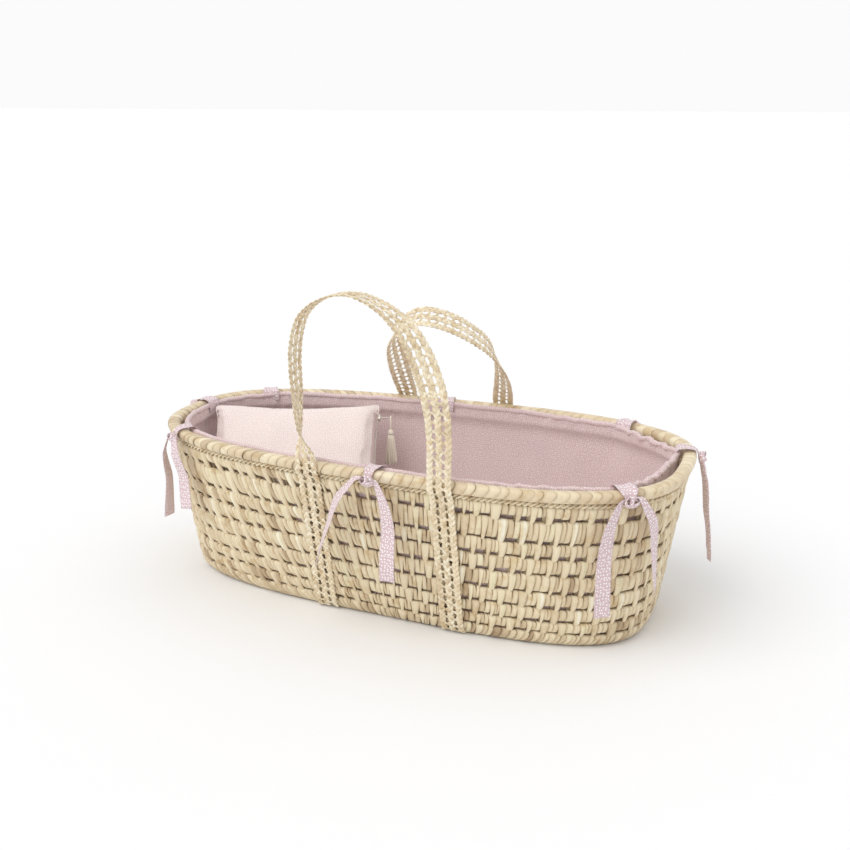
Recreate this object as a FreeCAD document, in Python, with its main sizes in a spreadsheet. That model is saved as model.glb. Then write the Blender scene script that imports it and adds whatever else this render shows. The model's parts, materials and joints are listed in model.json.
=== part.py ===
"""Moses basket: a coiled palm-leaf basket with two braided handles, a tied-in cotton liner,
a mattress and a cushion with a tasselled zip.

Frame: millimetres, +Z up, the floor at Z = 0 under the middle of the base, +X along the basket
towards the wider end, -Y towards the side whose handle stands upright.
"""
import FreeCAD, Part
import math
import os

Vector = FreeCAD.Vector
Rotation = FreeCAD.Rotation
Placement = FreeCAD.Placement

X_AXIS = Vector(1, 0, 0)
Y_AXIS = Vector(0, 1, 0)
Z_AXIS = Vector(0, 0, 1)

doc = FreeCAD.newDocument("MosesBasket")

# ---------------------------------------------------------------- driving dimensions

SIZES = {
    # the woven basket
    "rim_length": (840, "outside length over the rim roll"),
    "rim_width": (410, "outside width over the rim roll, half way along"),
    "rim_taper": (0.08, "share by which the wide end is wider than the middle"),
    "rim_squareness": (2.84, "superellipse exponent of the rim's outline"),
    "base_length": (734, "length of the base where it meets the floor"),
    "base_width": (282, "width of the base where it meets the floor"),
    "base_squareness": (3.2, "superellipse exponent of the base's outline"),
    "basket_height": (250, "floor to the top of the rim roll"),
    "foot_tuck": (7, "how far the lowest row curls in under the wall"),
    "row_bulge": (1.6, "how far the middle of a row stands out from its edges"),
    "wall_thick": (8, "thickness of a coiled row"),
    "row_core_thick": (4, "thickness of the stalk bundle inside a row"),
    "rim_roll_rise": (18, "height of the wrapped rim roll"),
    "rim_roll_thick": (20, "thickness of the wrapped rim roll, in plan"),
    "rim_wrap_thick": (2, "palm strip wound round the rim's stalks"),
    "lashing_rise": (6, "height of the twisted lashing under the rim roll"),
    "mat_thick": (12, "thickness of the woven base mat"),
    # the braided straps and handles
    "strap_width": (36, "width of the braid on the wall and under the base"),
    "strap_thick": (4, "thickness of the braid"),
    "strap_end": (3, "top of a wall strap, down from the top of the rim roll"),
    "front_strap_left": (-88, "middle of the left strap on the front wall, along X"),
    "front_strap_right": (118, "middle of the right strap on the front wall, along X"),
    "rear_strap_left": (-105, "middle of the left strap on the rear wall, along X"),
    "rear_strap_right": (66, "middle of the right strap on the rear wall, along X"),
    "handle_rise": (245, "rim to the crown of a handle's arch"),
    "handle_width": (38, "width of the braid in a handle"),
    "handle_thick": (6, "thickness of the braid in a handle"),
    "rear_handle_lean": (45, "how far the rear handle leans in over the basket, in degrees"),
    # the liner and its ties
    "liner_thick": (5, "thickness of the padded cotton liner"),
    "hem_dia": (9, "thickness of the piped hem"),
    "tie_width": (23, "width of a tie ribbon"),
    "tie_thick": (1.5, "thickness of a tie ribbon"),
    "tie_slack": (4.8, "slack of a tie's band round the rim and the hem"),
    "knot_width": (26, "width of a tie's knot"),
    "knot_rise": (15, "height of a tie's knot"),
    "knot_thick": (11, "thickness of a tie's knot"),
    # the mattress
    "mattress_thick": (42, "thickness of the covered mattress"),
    "mattress_gap": (5, "gap left round the mattress"),
    "cover_thick": (1.5, "thickness of the cotton covers"),
    # the cushion
    "cushion_width": (281, "width of the cushion along its zip-free top edge"),
    "cushion_length": (290, "length of the cushion down its slope"),
    "cushion_thick": (52, "thickness of the cushion"),
    "cushion_corner": (6, "corner radius of the cushion's face"),
    "cushion_edge": (18, "how far the cushion's faces are drawn in from its seam"),
    "cushion_seam": (14, "height of the band along the cushion's seam"),
    "cushion_yaw": (22, "turn of the cushion about Z, in degrees"),
    "cushion_slope": (36, "slope of the cushion, in degrees"),
    "cushion_top_x": (-258, "middle of the cushion's top edge, along X"),
    "cushion_top_y": (84, "middle of the cushion's top edge, along Y"),
    "cushion_top_z": (243, "middle of the cushion's top edge, along Z"),
    "zip_length": (190, "length of the zip"),
    "zip_width": (14, "width of the zip's tape"),
    "zip_inset": (22, "start of the zip from the cushion's top edge"),
    "slider_length": (12, "length of the zip slider"),
    "slider_width": (8, "width of the zip slider"),
    "slider_thick": (4, "thickness of the zip slider"),
    "pull_dia": (2, "thickness of the pin that the tassel hangs on"),
    "tassel_length": (51, "length of the tassel's skirt"),
    "tassel_dia": (21, "width of the tassel's skirt at its hem"),
    "tassel_head_dia": (9, "width of the tassel's head"),
    "tassel_loop_rise": (24, "height of the loop that the tassel hangs from"),
    # fits
    "fit_gap": (0.3, "gap between curved faces that lie against each other"),
    "slide_gap": (1.2, "gap between pieces that move past each other"),
}

sheet = doc.addObject("Spreadsheet::Sheet", "Sizes")
for row, (name, (value, note)) in enumerate(SIZES.items(), start=1):
    sheet.set("A%d" % row, note)
    sheet.set("B%d" % row, str(value))
    sheet.setAlias("B%d" % row, name)
doc.recompute()


def size(name):
    """The value of a driving dimension, read from the sheet."""
    return float(sheet.get(name))


parts = []


def finish(piece, label):
    """Names a finished sub-part; its label is also its file's name."""
    piece.Label = label
    parts.append(piece)
    return piece


def feature(label, shape, placement=None):
    """A sub-part whose outline follows a formula that no sketch or primitive holds."""
    piece = doc.addObject("Part::Feature", label)
    piece.Shape = shape
    if placement is not None:
        piece.Placement = placement
    return finish(piece, label)


# ---------------------------------------------------------------- the basket's outline

OUTLINE_POINTS = 40

height = size("basket_height")
gap = size("fit_gap")
wall_thick = size("wall_thick")
rim_roll_thick = size("rim_roll_thick")
rim_overhang = (rim_roll_thick - wall_thick) / 2
rim_floor = height - size("rim_roll_rise")
lashing_floor = rim_floor - size("lashing_rise")

# The rows' relative heights, from the floor up: hand-laid rows are never quite alike.
ROW_SHARES = [0.93, 0.77, 0.87, 1.02, 1.15, 1.06, 0.96, 1.43, 0.82]
row_edges = [lashing_floor * sum(ROW_SHARES[:count]) / sum(ROW_SHARES)
             for count in range(len(ROW_SHARES) + 1)]
first_row_top = row_edges[1]


def outline_sizes(z, inset):
    """Half length, half width and exponent of the wall's outside at height z, moved in."""
    share = z / height
    tuck = size("foot_tuck")
    curl = tuck - tuck * max(0.0, 1 - z / first_row_top) ** 2
    half_long = size("base_length") / 2 + curl
    half_long += (size("rim_length") / 2 - rim_overhang - size("base_length") / 2 - tuck) * share
    half_wide = size("base_width") / 2 + curl
    half_wide += (size("rim_width") / 2 - rim_overhang - size("base_width") / 2 - tuck) * share
    squareness = size("base_squareness")
    squareness += (size("rim_squareness") - squareness) * share
    return half_long - inset, half_wide - inset, squareness


def outline_point(z, inset, angle):
    """A point of the tapered superellipse x = a c^(2/n), y = b s^(2/n) (1 + taper x / a)."""
    half_long, half_wide, squareness = outline_sizes(z, inset)
    along, across = math.cos(angle), math.sin(angle)
    x = half_long * math.copysign(abs(along) ** (2 / squareness), along)
    y = half_wide * math.copysign(abs(across) ** (2 / squareness), across)
    return Vector(x, y * (1 + size("rim_taper") * x / half_long), z)


def outline_half_width(x, z, inset=0.0):
    """Half width of the outline at station x."""
    half_long, half_wide, squareness = outline_sizes(z, inset)
    share = x / half_long
    return half_wide * (1 - abs(share) ** squareness) ** (1 / squareness) * (1 + size("rim_taper") * share)


def outline_wire(z, inset):
    """The closed outline at height z: one smooth periodic curve, split into quarters."""
    turns = [2 * math.pi * step / OUTLINE_POINTS for step in range(OUTLINE_POINTS)]
    points = [outline_point(z, inset, turn) for turn in turns]
    curve = Part.BSplineCurve()
    curve.interpolate(Points=points, PeriodicFlag=True)
    corners = [curve.parameter(points[quarter * OUTLINE_POINTS // 4]) for quarter in range(4)]
    corners.append(curve.LastParameter)
    return Part.Wire([curve.copy().toShape(start, end) for start, end in zip(corners, corners[1:])])


def solid_of(shape):
    """A closed shell made a solid with its faces outwards."""
    solid = Part.Solid(shape.Shells[0])
    if solid.Volume < 0:
        solid.reverse()
    return solid


def ring(profile):
    """A ring that follows the outline; its profile is a closed list of (inset, height)."""
    wires = [outline_wire(z, inset) for inset, z in profile]
    return solid_of(Part.makeLoft(wires, False, True, True))


def slab(z_low, z_high, inset):
    """A solid that fills the outline from one height to another."""
    return Part.makeLoft([outline_wire(z_low, inset), outline_wire(z_high, inset)], True, True)


def round_profile(inset, z, thick, rise, sides=8):
    """An oval profile about a point of the wall's cross-section."""
    turns = [2 * math.pi * side / sides for side in range(sides)]
    return [(inset + thick / 2 * math.cos(turn), z + rise / 2 * math.sin(turn)) for turn in turns]


# ---------------------------------------------------------------- straps under the base

strap_width = size("strap_width")
strap_thick = size("strap_thick")
strap_floor = strap_thick + gap
STRAPS = {
    "left": (size("front_strap_left"), size("rear_strap_left")),
    "right": (size("front_strap_right"), size("rear_strap_right")),
}


def prism(corners, z_low, z_high):
    """A flat plate with the given corners in plan."""
    points = [Vector(x, y, z_low) for x, y in corners]
    face = Part.Face(Part.makePolygon(points + points[:1]))
    return face.extrude(Vector(0, 0, z_high - z_low))


def under_run(front_x, rear_x, spare, z_high):
    """The plate that a strap fills under the base, from the front wall to the rear wall."""
    half = strap_width / 2 + spare
    front_y = -outline_half_width(front_x, strap_floor) - gap - strap_thick
    rear_y = outline_half_width(rear_x, strap_floor) + gap + strap_thick
    corners = [(front_x - half, front_y), (front_x + half, front_y),
               (rear_x + half, rear_y), (rear_x - half, rear_y)]
    return prism(corners, 0, z_high)


channels = [under_run(front_x, rear_x, gap, strap_floor) for front_x, rear_x in STRAPS.values()]

for side, (front_x, rear_x) in STRAPS.items():
    feature("strap_under_" + side, under_run(front_x, rear_x, 0, strap_thick))

# ---------------------------------------------------------------- base, rows, lashing and rim

mat_thick = size("mat_thick")
mat_inset = wall_thick + gap
feature("base_mat", slab(0, mat_thick, mat_inset).cut(Part.makeCompound(channels)))

# the lowest row curls in under the wall, so its inner face takes more stations than the others'
FOOT_STEPS = 4

bulge = size("row_bulge")
core_thick = size("row_core_thick")

for number, (low, high) in enumerate(zip(row_edges, row_edges[1:]), start=1):
    middle = (low + high) / 2
    steps = FOOT_STEPS if low == 0 else 1
    inner = [(wall_thick, high + (low - high) * step / steps) for step in range(steps + 1)]
    wrap = ring([(bulge, low), (0, middle), (bulge, high)] + inner)
    core_inset = (wall_thick + bulge) / 2
    core_rise = high - low - 2 * (wall_thick - core_thick)
    core = ring(round_profile(core_inset, middle, core_thick, core_rise))
    wrap = wrap.cut(core)
    if low == 0:
        wrap = wrap.cut(Part.makeCompound(channels))
    feature("wall_row_%d" % number, wrap)
    feature("row_core_%d" % number, core)

lashing_profile = round_profile(wall_thick / 2, (lashing_floor + rim_floor) / 2,
                                wall_thick + bulge, size("lashing_rise"))
feature("rim_lashing", ring(lashing_profile))

rim_middle = (rim_floor + height) / 2
rim_wrap_thick = size("rim_wrap_thick")
rim_core = ring(round_profile(wall_thick / 2, rim_middle, rim_roll_thick - 2 * rim_wrap_thick,
                              size("rim_roll_rise") - 2 * rim_wrap_thick))
rim_roll = ring(round_profile(wall_thick / 2, rim_middle, rim_roll_thick, size("rim_roll_rise")))
feature("rim_roll", rim_roll.cut(rim_core))
feature("rim_core", rim_core)

# ---------------------------------------------------------------- straps up the walls


strap_top = height - size("strap_end")


def strap_edge(x, side):
    """Cross-section of a wall strap at station x: up the wall and out past the rim roll."""
    stations = [(strap_floor, 0), (first_row_top / 2, 0), (first_row_top, 0), (lashing_floor, 0),
                (rim_floor, rim_overhang), (strap_top, rim_overhang)]
    inner = [(outline_half_width(x, z) + out + gap, z) for z, out in stations]
    outer = [(y + strap_thick, z) for y, z in reversed(inner)]
    points = [Vector(x, side * y, z) for y, z in inner + outer]
    return Part.makePolygon(points + points[:1])


def wall_strap(x, side):
    half = strap_width / 2
    return Part.makeLoft([strap_edge(x - half, side), strap_edge(x + half, side)], True, True)


for side, (front_x, rear_x) in STRAPS.items():
    feature("strap_front_" + side, wall_strap(front_x, -1))
    feature("strap_rear_" + side, wall_strap(rear_x, 1))

# ---------------------------------------------------------------- handles

# An arch's route: place along the span from -1 to 1, share of the rise, and twist of the braid,
# which lies flat against the wall at 0 degrees and turns edge-on to the wall at 90.
FRONT_ARCH = [(-1.0, 0.03, -5), (-1.02, 0.08, -22), (-1.04, 0.13, -45), (-1.07, 0.22, -72),
              (-1.09, 0.42, -85), (-1.1, 0.66, -90), (-0.96, 0.86, -90), (-0.62, 0.97, -90),
              (-0.2, 1.0, -90), (0.22, 0.94, -80), (0.56, 0.82, -62), (0.78, 0.66, -40),
              (0.93, 0.48, -22), (1.0, 0.27, -8), (1.0, 0.03, 0)]
REAR_ARCH = [(-1.0, 0.03, 8), (-0.94, 0.25, 25), (-0.86, 0.48, 45), (-0.74, 0.7, 70), (-0.42, 0.9, 85),
             (0.05, 1.0, 90), (0.5, 0.96, 90), (0.86, 0.85, 85), (1.12, 0.7, 75), (1.2, 0.5, 50),
             (1.16, 0.28, 28), (1.02, 0.03, 5)]

handle_rise = size("handle_rise")
handle_width = size("handle_width")
handle_thick = size("handle_thick")


def braid_section(point, tangent, twist):
    """The corners of a handle's oblong cross-section."""
    flat = Vector(tangent.z, 0, -tangent.x)
    turned = flat * math.cos(twist) + Y_AXIS * math.sin(twist)
    across = turned * (handle_width / 2)
    through = tangent.cross(turned) * (handle_thick / 2)
    return [point + across + through, point - across + through,
            point - across - through, point + across - through]


def arch(route, span):
    """A handle's twisted braid, standing upright over the middle of the line between its feet."""
    points = [Vector(span / 2 * along, 0, handle_rise * rise) for along, rise, _ in route]
    ends = points[:1] + points + points[-1:]
    tangents = [(after - before).normalize() for before, after in zip(ends, ends[2:])]
    tangents[0] = Vector(Z_AXIS)
    tangents[-1] = Z_AXIS * -1
    sections = [braid_section(point, tangent, math.radians(twist))
                for point, tangent, (_, _, twist) in zip(points, tangents, route)]
    faces = [Part.Face(Part.makePolygon(end + end[:1])) for end in (sections[0], sections[-1])]
    for here, there in zip(sections, sections[1:]):
        rails = [Part.makeLine(start, stop) for start, stop in zip(here, there)]
        faces += [Part.makeRuledSurface(rail, after) for rail, after in zip(rails, rails[1:] + rails[:1])]
    shell = Part.Shell(faces)
    shell.sewShape()
    return solid_of(shell)


def handle_pivot(left_x, right_x, side):
    """The line that a handle swings about: its middle, its length and its turn about Z."""
    left, right = [Vector(x, side * (outline_half_width(x, height) + rim_overhang + gap + strap_thick / 2),
                          height) for x in (left_x, right_x)]
    span = right - left
    return (left + right) / 2, span.Length, math.degrees(math.atan2(span.y, span.x))


PIVOTS = {}
for name, route, feet, side, lean in (
        ("handle_front", FRONT_ARCH, ("front_strap_left", "front_strap_right"), -1, 0),
        ("handle_rear", REAR_ARCH, ("rear_strap_left", "rear_strap_right"), 1, size("rear_handle_lean"))):
    middle, span, yaw = handle_pivot(*[size(foot) for foot in feet], side)
    turn = Rotation(Z_AXIS, yaw) * Rotation(X_AXIS, lean)
    feature(name, arch(route, span), Placement(middle, turn))
    PIVOTS[name] = (middle, turn.multVec(X_AXIS))

# ---------------------------------------------------------------- the liner

liner_thick = size("liner_thick")
liner_out = wall_thick + gap
liner_in = liner_out + liner_thick
roll_step = rim_overhang + gap
liner_floor_z = mat_thick + gap
liner_floor_top = liner_floor_z + liner_thick
hem_dia = size("hem_dia")
hem_low = height - gap - hem_dia
bend_z = lashing_floor - roll_step

feature("liner_floor", slab(liner_floor_z, liner_floor_top, liner_out))
feature("liner_wall", ring([(liner_out, liner_floor_top), (liner_out, bend_z),
                            (liner_out + roll_step, lashing_floor), (liner_out + roll_step, hem_low),
                            (liner_in + roll_step, hem_low), (liner_in + roll_step, lashing_floor),
                            (liner_in, bend_z), (liner_in, liner_floor_top)]))
hem_inset = liner_out + roll_step + hem_dia / 2
feature("liner_hem", ring(round_profile(hem_inset, hem_low + hem_dia / 2, hem_dia, hem_dia)))

# ---------------------------------------------------------------- ties

# Each tie: its place on the outline as an angle from the wide end, counter-clockwise seen from
# above, then for its two tails the length and the splay from the vertical.
TIES = {
    "front_left": (-141, (128, -10), (112, 10)),
    "front_middle": (-89.6, (152, -28), (152, 14)),
    "front_right": (-35, (172, -9), (135, 10)),
    "wide_end": (11, (150, -8), (150, 10)),
    "rear_right": (52, (150, -10), (150, 10)),
    "rear_middle": (91, (150, -10), (150, 10)),
    "rear_left": (140, (150, -10), (150, 10)),
    "narrow_end": (176, (130, -10), (130, 8)),
}

tie_thick = size("tie_thick")
tie_width = size("tie_width")
knot_thick = size("knot_thick")
hook_drop = size("rim_roll_rise") + gap
hook_out = -rim_roll_thick / 2 - gap - tie_thick
hook_in = hook_out + 2 * tie_thick + size("tie_slack") + rim_roll_thick + hem_dia


def bound_box(name, lengths, placement):
    """A box whose three sizes follow the sheet."""
    box = doc.addObject("Part::Box", name)
    for side, formula in zip(("Length", "Width", "Height"), lengths):
        box.setExpression(side, formula)
    box.Placement = placement
    return box


def tie(name, angle, tails):
    """A ribbon hooked over the rim, knotted outside it, with two tails hanging down.

    It is built with -Y outwards and the rim's top at the origin's height, then put in place.
    """
    foot = outline_point(height, wall_thick / 2, angle)
    nearby = outline_point(height, wall_thick / 2, angle + 0.01)
    yaw = math.degrees(math.atan2(nearby.y - foot.y, nearby.x - foot.x))
    depth = "2 * Sizes.tie_thick + Sizes.tie_slack + Sizes.rim_roll_thick + Sizes.hem_dia"
    drop = "Sizes.rim_roll_rise + 2 * Sizes.fit_gap"
    block = bound_box(name + "_block", ("Sizes.tie_width", depth, drop + " + Sizes.tie_thick"),
                      Placement(Vector(-tie_width / 2, hook_out, -hook_drop), Rotation()))
    hollow = bound_box(name + "_hollow", ("2 * Sizes.tie_width", depth + " - 2 * Sizes.tie_thick", drop),
                       Placement(Vector(-tie_width, hook_out + tie_thick, -hook_drop), Rotation()))
    hook = doc.addObject("Part::Cut", name + "_hook")
    hook.Base = block
    hook.Tool = hollow
    knot = bound_box(name + "_knot", ("Sizes.knot_width", "Sizes.knot_thick", "Sizes.knot_rise"),
                     Placement(Vector(-size("knot_width") / 2, hook_out + tie_thick / 2 - knot_thick, -hook_drop),
                               Rotation()))
    pieces = [hook, knot]
    for order, (length, splay) in enumerate(tails):
        turn = Rotation(Y_AXIS, -splay)
        out = hook_out - knot_thick * (1 + 2 * order) / 4
        top = Vector(0, out, size("knot_rise") / 2 - hook_drop)
        corner = turn.multVec(Vector(-tie_width / 2, 0, -length))
        pieces.append(bound_box(name + "_tail_%d" % order, ("Sizes.tie_width", "Sizes.tie_thick", str(length)),
                                Placement(top + corner, turn)))
    whole = doc.addObject("Part::MultiFuse", name)
    whole.Shapes = pieces
    whole.Placement = Placement(Vector(foot.x, foot.y, height), Rotation(Z_AXIS, yaw))
    return finish(whole, name)


for place, (degrees, *tails) in TIES.items():
    tie("tie_" + place, math.radians(degrees), tails)

# ---------------------------------------------------------------- the mattress

mattress_floor = liner_floor_top + gap
mattress_inset = liner_in + size("mattress_gap")
cover_thick = size("cover_thick")
mattress_top = mattress_floor + size("mattress_thick")


def mattress_slab(spare):
    """The mattress outline is the liner floor's, moved in, and stands straight up."""
    face = Part.Face(outline_wire(liner_floor_top, mattress_inset + spare))
    face.translate(Vector(0, 0, mattress_floor + spare - liner_floor_top))
    return face.extrude(Vector(0, 0, size("mattress_thick") - 2 * spare))


mattress_core = mattress_slab(cover_thick)
feature("mattress_cover", mattress_slab(0).cut(mattress_core))
feature("mattress_core", mattress_core)

# ---------------------------------------------------------------- the cushion

cushion_turn = Rotation(Z_AXIS, size("cushion_yaw")) * Rotation(X_AXIS, size("cushion_slope"))
cushion_top = Vector(size("cushion_top_x"), size("cushion_top_y"), size("cushion_top_z"))
cushion_place = Placement(cushion_top, cushion_turn)


def oblong_sketch(body, level, inset):
    """A rounded oblong parallel to the cushion's face; its top edge's middle is over the origin."""
    plane = next(item for item in body.Origin.OriginFeatures if item.Role == "XY_Plane")
    sketch = body.newObject("Sketcher::SketchObject", body.Name + "_outline")
    sketch.AttachmentSupport = [(plane, "")]
    sketch.MapMode = "FlatFace"
    sketch.AttachmentOffset = Placement(Vector(0, 0, level), Rotation())
    half = size("cushion_width") / 2 - inset
    length = size("cushion_length") - inset
    radius = size("cushion_corner") + size("cushion_edge") - inset
    centres = [(half - radius, -inset - radius), (radius - half, -inset - radius),
               (radius - half, radius - length), (half - radius, radius - length)]
    for quarter, (x, y) in enumerate(centres):
        start = quarter * math.pi / 2
        end = start + math.pi / 2
        circle = Part.Circle(Vector(x, y, 0), Z_AXIS, radius)
        sketch.addGeometry(Part.ArcOfCircle(circle, start, end))
        after_x, after_y = centres[(quarter + 1) % len(centres)]
        shift = Vector(math.cos(end), math.sin(end), 0) * radius
        sketch.addGeometry(Part.LineSegment(Vector(x, y, 0) + shift, Vector(after_x, after_y, 0) + shift))
    return sketch


def cushion_pad(name, spare):
    """A padded oblong as a PartDesign body, thickest inside its seam and drawn in at its faces."""
    body = doc.addObject("PartDesign::Body", name)
    half_thick = size("cushion_thick") / 2 - spare
    seam_half = size("cushion_seam") / 2
    slope = size("cushion_edge")
    levels = [(-half_thick, slope), (-seam_half, spare), (seam_half, spare), (half_thick, slope)]
    sketches = [oblong_sketch(body, level, inset) for level, inset in levels]
    loft = body.newObject("PartDesign::AdditiveLoft", name + "_loft")
    loft.Profile = sketches[0]
    loft.Sections = sketches[1:]
    loft.Ruled = True
    body.Placement = cushion_place
    return body


def cushion_room(name, spare):
    """The space that the cushion may fill between the liner's walls and ties, above the mattress."""
    room = doc.addObject("Part::Feature", name)
    low = mattress_top + gap + spare
    low_inset = liner_in + size("slide_gap") + spare
    high = height + size("cushion_thick")
    high_inset = wall_thick / 2 + hook_in + size("slide_gap") + spare
    room.Shape = Part.makeLoft([outline_wire(low, low_inset), outline_wire(height, high_inset),
                                outline_wire(high, high_inset)], True, True)
    return room


def cushion_solid(name, spare):
    """The pad pressed into the room it has."""
    common = doc.addObject("Part::Common", name)
    common.Base = cushion_pad(name + "_pad_body", spare)
    common.Tool = cushion_room(name + "_room", spare)
    return common


cushion_fill = finish(cushion_solid("cushion_fill", cover_thick), "cushion_fill")
cushion_outer = cushion_solid("cushion_outer", 0)
cushion_cover = doc.addObject("Part::Cut", "cushion_cover")
cushion_cover.Base = cushion_outer
cushion_cover.Tool = cushion_fill
finish(cushion_cover, "cushion_cover")

# ---------------------------------------------------------------- zip, slider and tassel

zip_width = size("zip_width")
tape_thick = size("cover_thick")
zip_face = size("cushion_width") / 2 + gap
zip_start = size("zip_inset")


def on_cushion(piece, corner):
    """Places a piece given in the cushion's own directions."""
    piece.Placement = Placement(cushion_place.multVec(corner), cushion_turn)


tape = doc.addObject("Part::Box", "zip_tape")
tape.setExpression("Length", "Sizes.cover_thick")
tape.setExpression("Width", "Sizes.zip_length")
tape.setExpression("Height", "Sizes.zip_width")
on_cushion(tape, Vector(zip_face, -zip_start - size("zip_length"), -zip_width / 2))
finish(tape, "zip_tape")

slider_x = zip_face + tape_thick + gap
slider_middle = Vector(slider_x, -zip_start - size("slider_length") / 2, 0)
slider_body = doc.addObject("Part::Box", "zip_slider_body")
slider_body.setExpression("Length", "Sizes.slider_thick")
slider_body.setExpression("Width", "Sizes.slider_length")
slider_body.setExpression("Height", "Sizes.slider_width")
on_cushion(slider_body, slider_middle - Vector(0, size("slider_length") / 2, size("slider_width") / 2))

# the pull is a level pin that the tassel's loop hangs on, clear of the cushion's side
pull_length = size("slider_thick") + size("tassel_dia") / 2 + size("slide_gap")
across_cushion = cushion_turn.multVec(X_AXIS)
pull = doc.addObject("Part::Cylinder", "zip_slider_pull")
pull.setExpression("Radius", "Sizes.pull_dia / 2")
pull.Height = pull_length + size("pull_dia")
pull.Placement = Placement(cushion_place.multVec(slider_middle), Rotation(Z_AXIS, across_cushion))
slider = doc.addObject("Part::MultiFuse", "zip_slider")
slider.Shapes = [slider_body, pull]
finish(slider, "zip_slider")

tassel_pin = cushion_place.multVec(slider_middle + Vector(pull_length, 0, 0))
loop_rise = size("tassel_loop_rise")
loop_cord = size("tassel_head_dia") / 4
loop_top_z = tassel_pin.z + size("pull_dia") / 2 + gap + loop_cord
loop = doc.addObject("Part::Torus", "tassel_loop")
loop.Radius1 = (loop_rise - loop_cord) / 2
loop.Radius2 = loop_cord / 2
loop.Placement = Placement(Vector(tassel_pin.x, tassel_pin.y, loop_top_z - loop_rise / 2),
                           Rotation(Z_AXIS, across_cushion))
finish(loop, "tassel_loop")

head_dia = size("tassel_head_dia")
head_z = loop_top_z - loop_rise - head_dia / 2
head = doc.addObject("Part::Sphere", "tassel_head")
head.setExpression("Radius", "Sizes.tassel_head_dia / 2")
head.Placement = Placement(Vector(tassel_pin.x, tassel_pin.y, head_z), Rotation())
finish(head, "tassel_head")

skirt = doc.addObject("Part::Cone", "tassel_skirt")
skirt.setExpression("Radius1", "Sizes.tassel_dia / 2")
skirt.setExpression("Radius2", "Sizes.tassel_head_dia / 2")
skirt.setExpression("Height", "Sizes.tassel_length")
skirt.Placement = Placement(Vector(tassel_pin.x, tassel_pin.y, head_z - head_dia / 2 - size("tassel_length")),
                            Rotation())
finish(skirt, "tassel_skirt")

# ---------------------------------------------------------------- checks and files

doc.recompute()
for item in doc.Objects:
    if "Invalid" in item.State or "Error" in item.State:
        raise RuntimeError("failed object: " + item.Name)
for piece in parts:
    if piece.Shape.isNull() or not piece.Shape.isValid() or piece.Shape.Volume <= 0:
        raise RuntimeError("bad shape: " + piece.Label)

os.makedirs("parts", exist_ok=True)
for piece in parts:
    piece.Shape.exportStep("parts/%s.step" % piece.Label)
    box = piece.Shape.BoundBox
    print("%-20s %d solid %9.0f mm3  x %.0f..%.0f y %.0f..%.0f z %.1f..%.1f" % (
        piece.Label, len(piece.Shape.Solids), piece.Shape.Volume,
        box.XMin, box.XMax, box.YMin, box.YMax, box.ZMin, box.ZMax))
for name, (middle, axis) in PIVOTS.items():
    print("%s swings about" % name, middle, "along", axis)
print("tassel swings about", tassel_pin, "along", across_cushion)
print("zip runs along", cushion_turn.multVec(Y_AXIS * -1))
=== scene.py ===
# %% [markdown]
# # A palm-leaf moses basket
# The basket is coiled rows of palm strip under a wrapped rim, with braided carrying straps, a
# padded cotton liner tied over the rim, a mattress and a loose cushion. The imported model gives
# every size and joint. This lesson dresses it: each cell makes one real piece and says how.

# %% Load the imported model
import json
import math

import bmesh
import bpy
import numpy as np
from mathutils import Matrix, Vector


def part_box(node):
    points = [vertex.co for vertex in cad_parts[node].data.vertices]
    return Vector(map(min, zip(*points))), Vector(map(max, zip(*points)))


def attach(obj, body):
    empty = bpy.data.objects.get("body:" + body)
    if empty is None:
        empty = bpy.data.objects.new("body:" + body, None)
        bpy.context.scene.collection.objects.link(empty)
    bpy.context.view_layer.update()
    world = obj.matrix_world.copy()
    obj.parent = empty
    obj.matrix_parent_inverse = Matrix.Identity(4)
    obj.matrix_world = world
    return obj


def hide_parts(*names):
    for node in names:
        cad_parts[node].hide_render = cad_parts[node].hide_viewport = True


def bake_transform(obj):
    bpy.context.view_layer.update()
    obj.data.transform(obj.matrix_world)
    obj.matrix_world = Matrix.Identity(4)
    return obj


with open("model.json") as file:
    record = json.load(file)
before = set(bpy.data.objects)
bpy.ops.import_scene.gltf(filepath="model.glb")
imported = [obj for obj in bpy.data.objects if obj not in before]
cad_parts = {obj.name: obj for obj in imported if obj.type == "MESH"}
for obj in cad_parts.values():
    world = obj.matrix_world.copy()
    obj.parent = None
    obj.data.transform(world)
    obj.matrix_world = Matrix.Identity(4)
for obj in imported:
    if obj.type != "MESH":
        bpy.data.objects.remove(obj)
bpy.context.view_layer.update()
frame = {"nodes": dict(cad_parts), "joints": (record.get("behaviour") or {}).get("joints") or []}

joints = {joint["name"]: joint for joint in frame["joints"]}

# %% [markdown]
# ## Sizes
# The basket's sizes are the design's own, in metres. Heights that a node's box already shows are
# read from the model, so that the pieces meet it with no fitting.

# %% The basket's sizes
MM = 0.001
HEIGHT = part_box("rim_roll")[1].z
WALL = 8 * MM
GAP = 0.3 * MM
BASE_HALF = (367 * MM, 141 * MM)
RIM_HALF = (414 * MM, 199 * MM)
FOOT_TUCK = 7 * MM
SQUARENESS = (3.2, 2.84)
TAPER = 0.08
ROWS = 9
row_names = ["wall_row_%d" % number for number in range(1, ROWS + 1)]
row_edges = np.array([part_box(name)[0].z for name in row_names] + [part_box(row_names[-1])[1].z])
rim_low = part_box("rim_roll")[0].z
print("rows from", row_edges.round(4), "rim from", round(rim_low, 4))

# %% [markdown]
# ## The outline
# Every ring of the basket follows one outline, a superellipse that is wider at one end. In polar
# form it is smooth all the way round, which a mesh that walks along it needs. The walker itself
# is a table of length against angle, so that strips can be laid at even distances.

# %% Outline helpers


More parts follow.
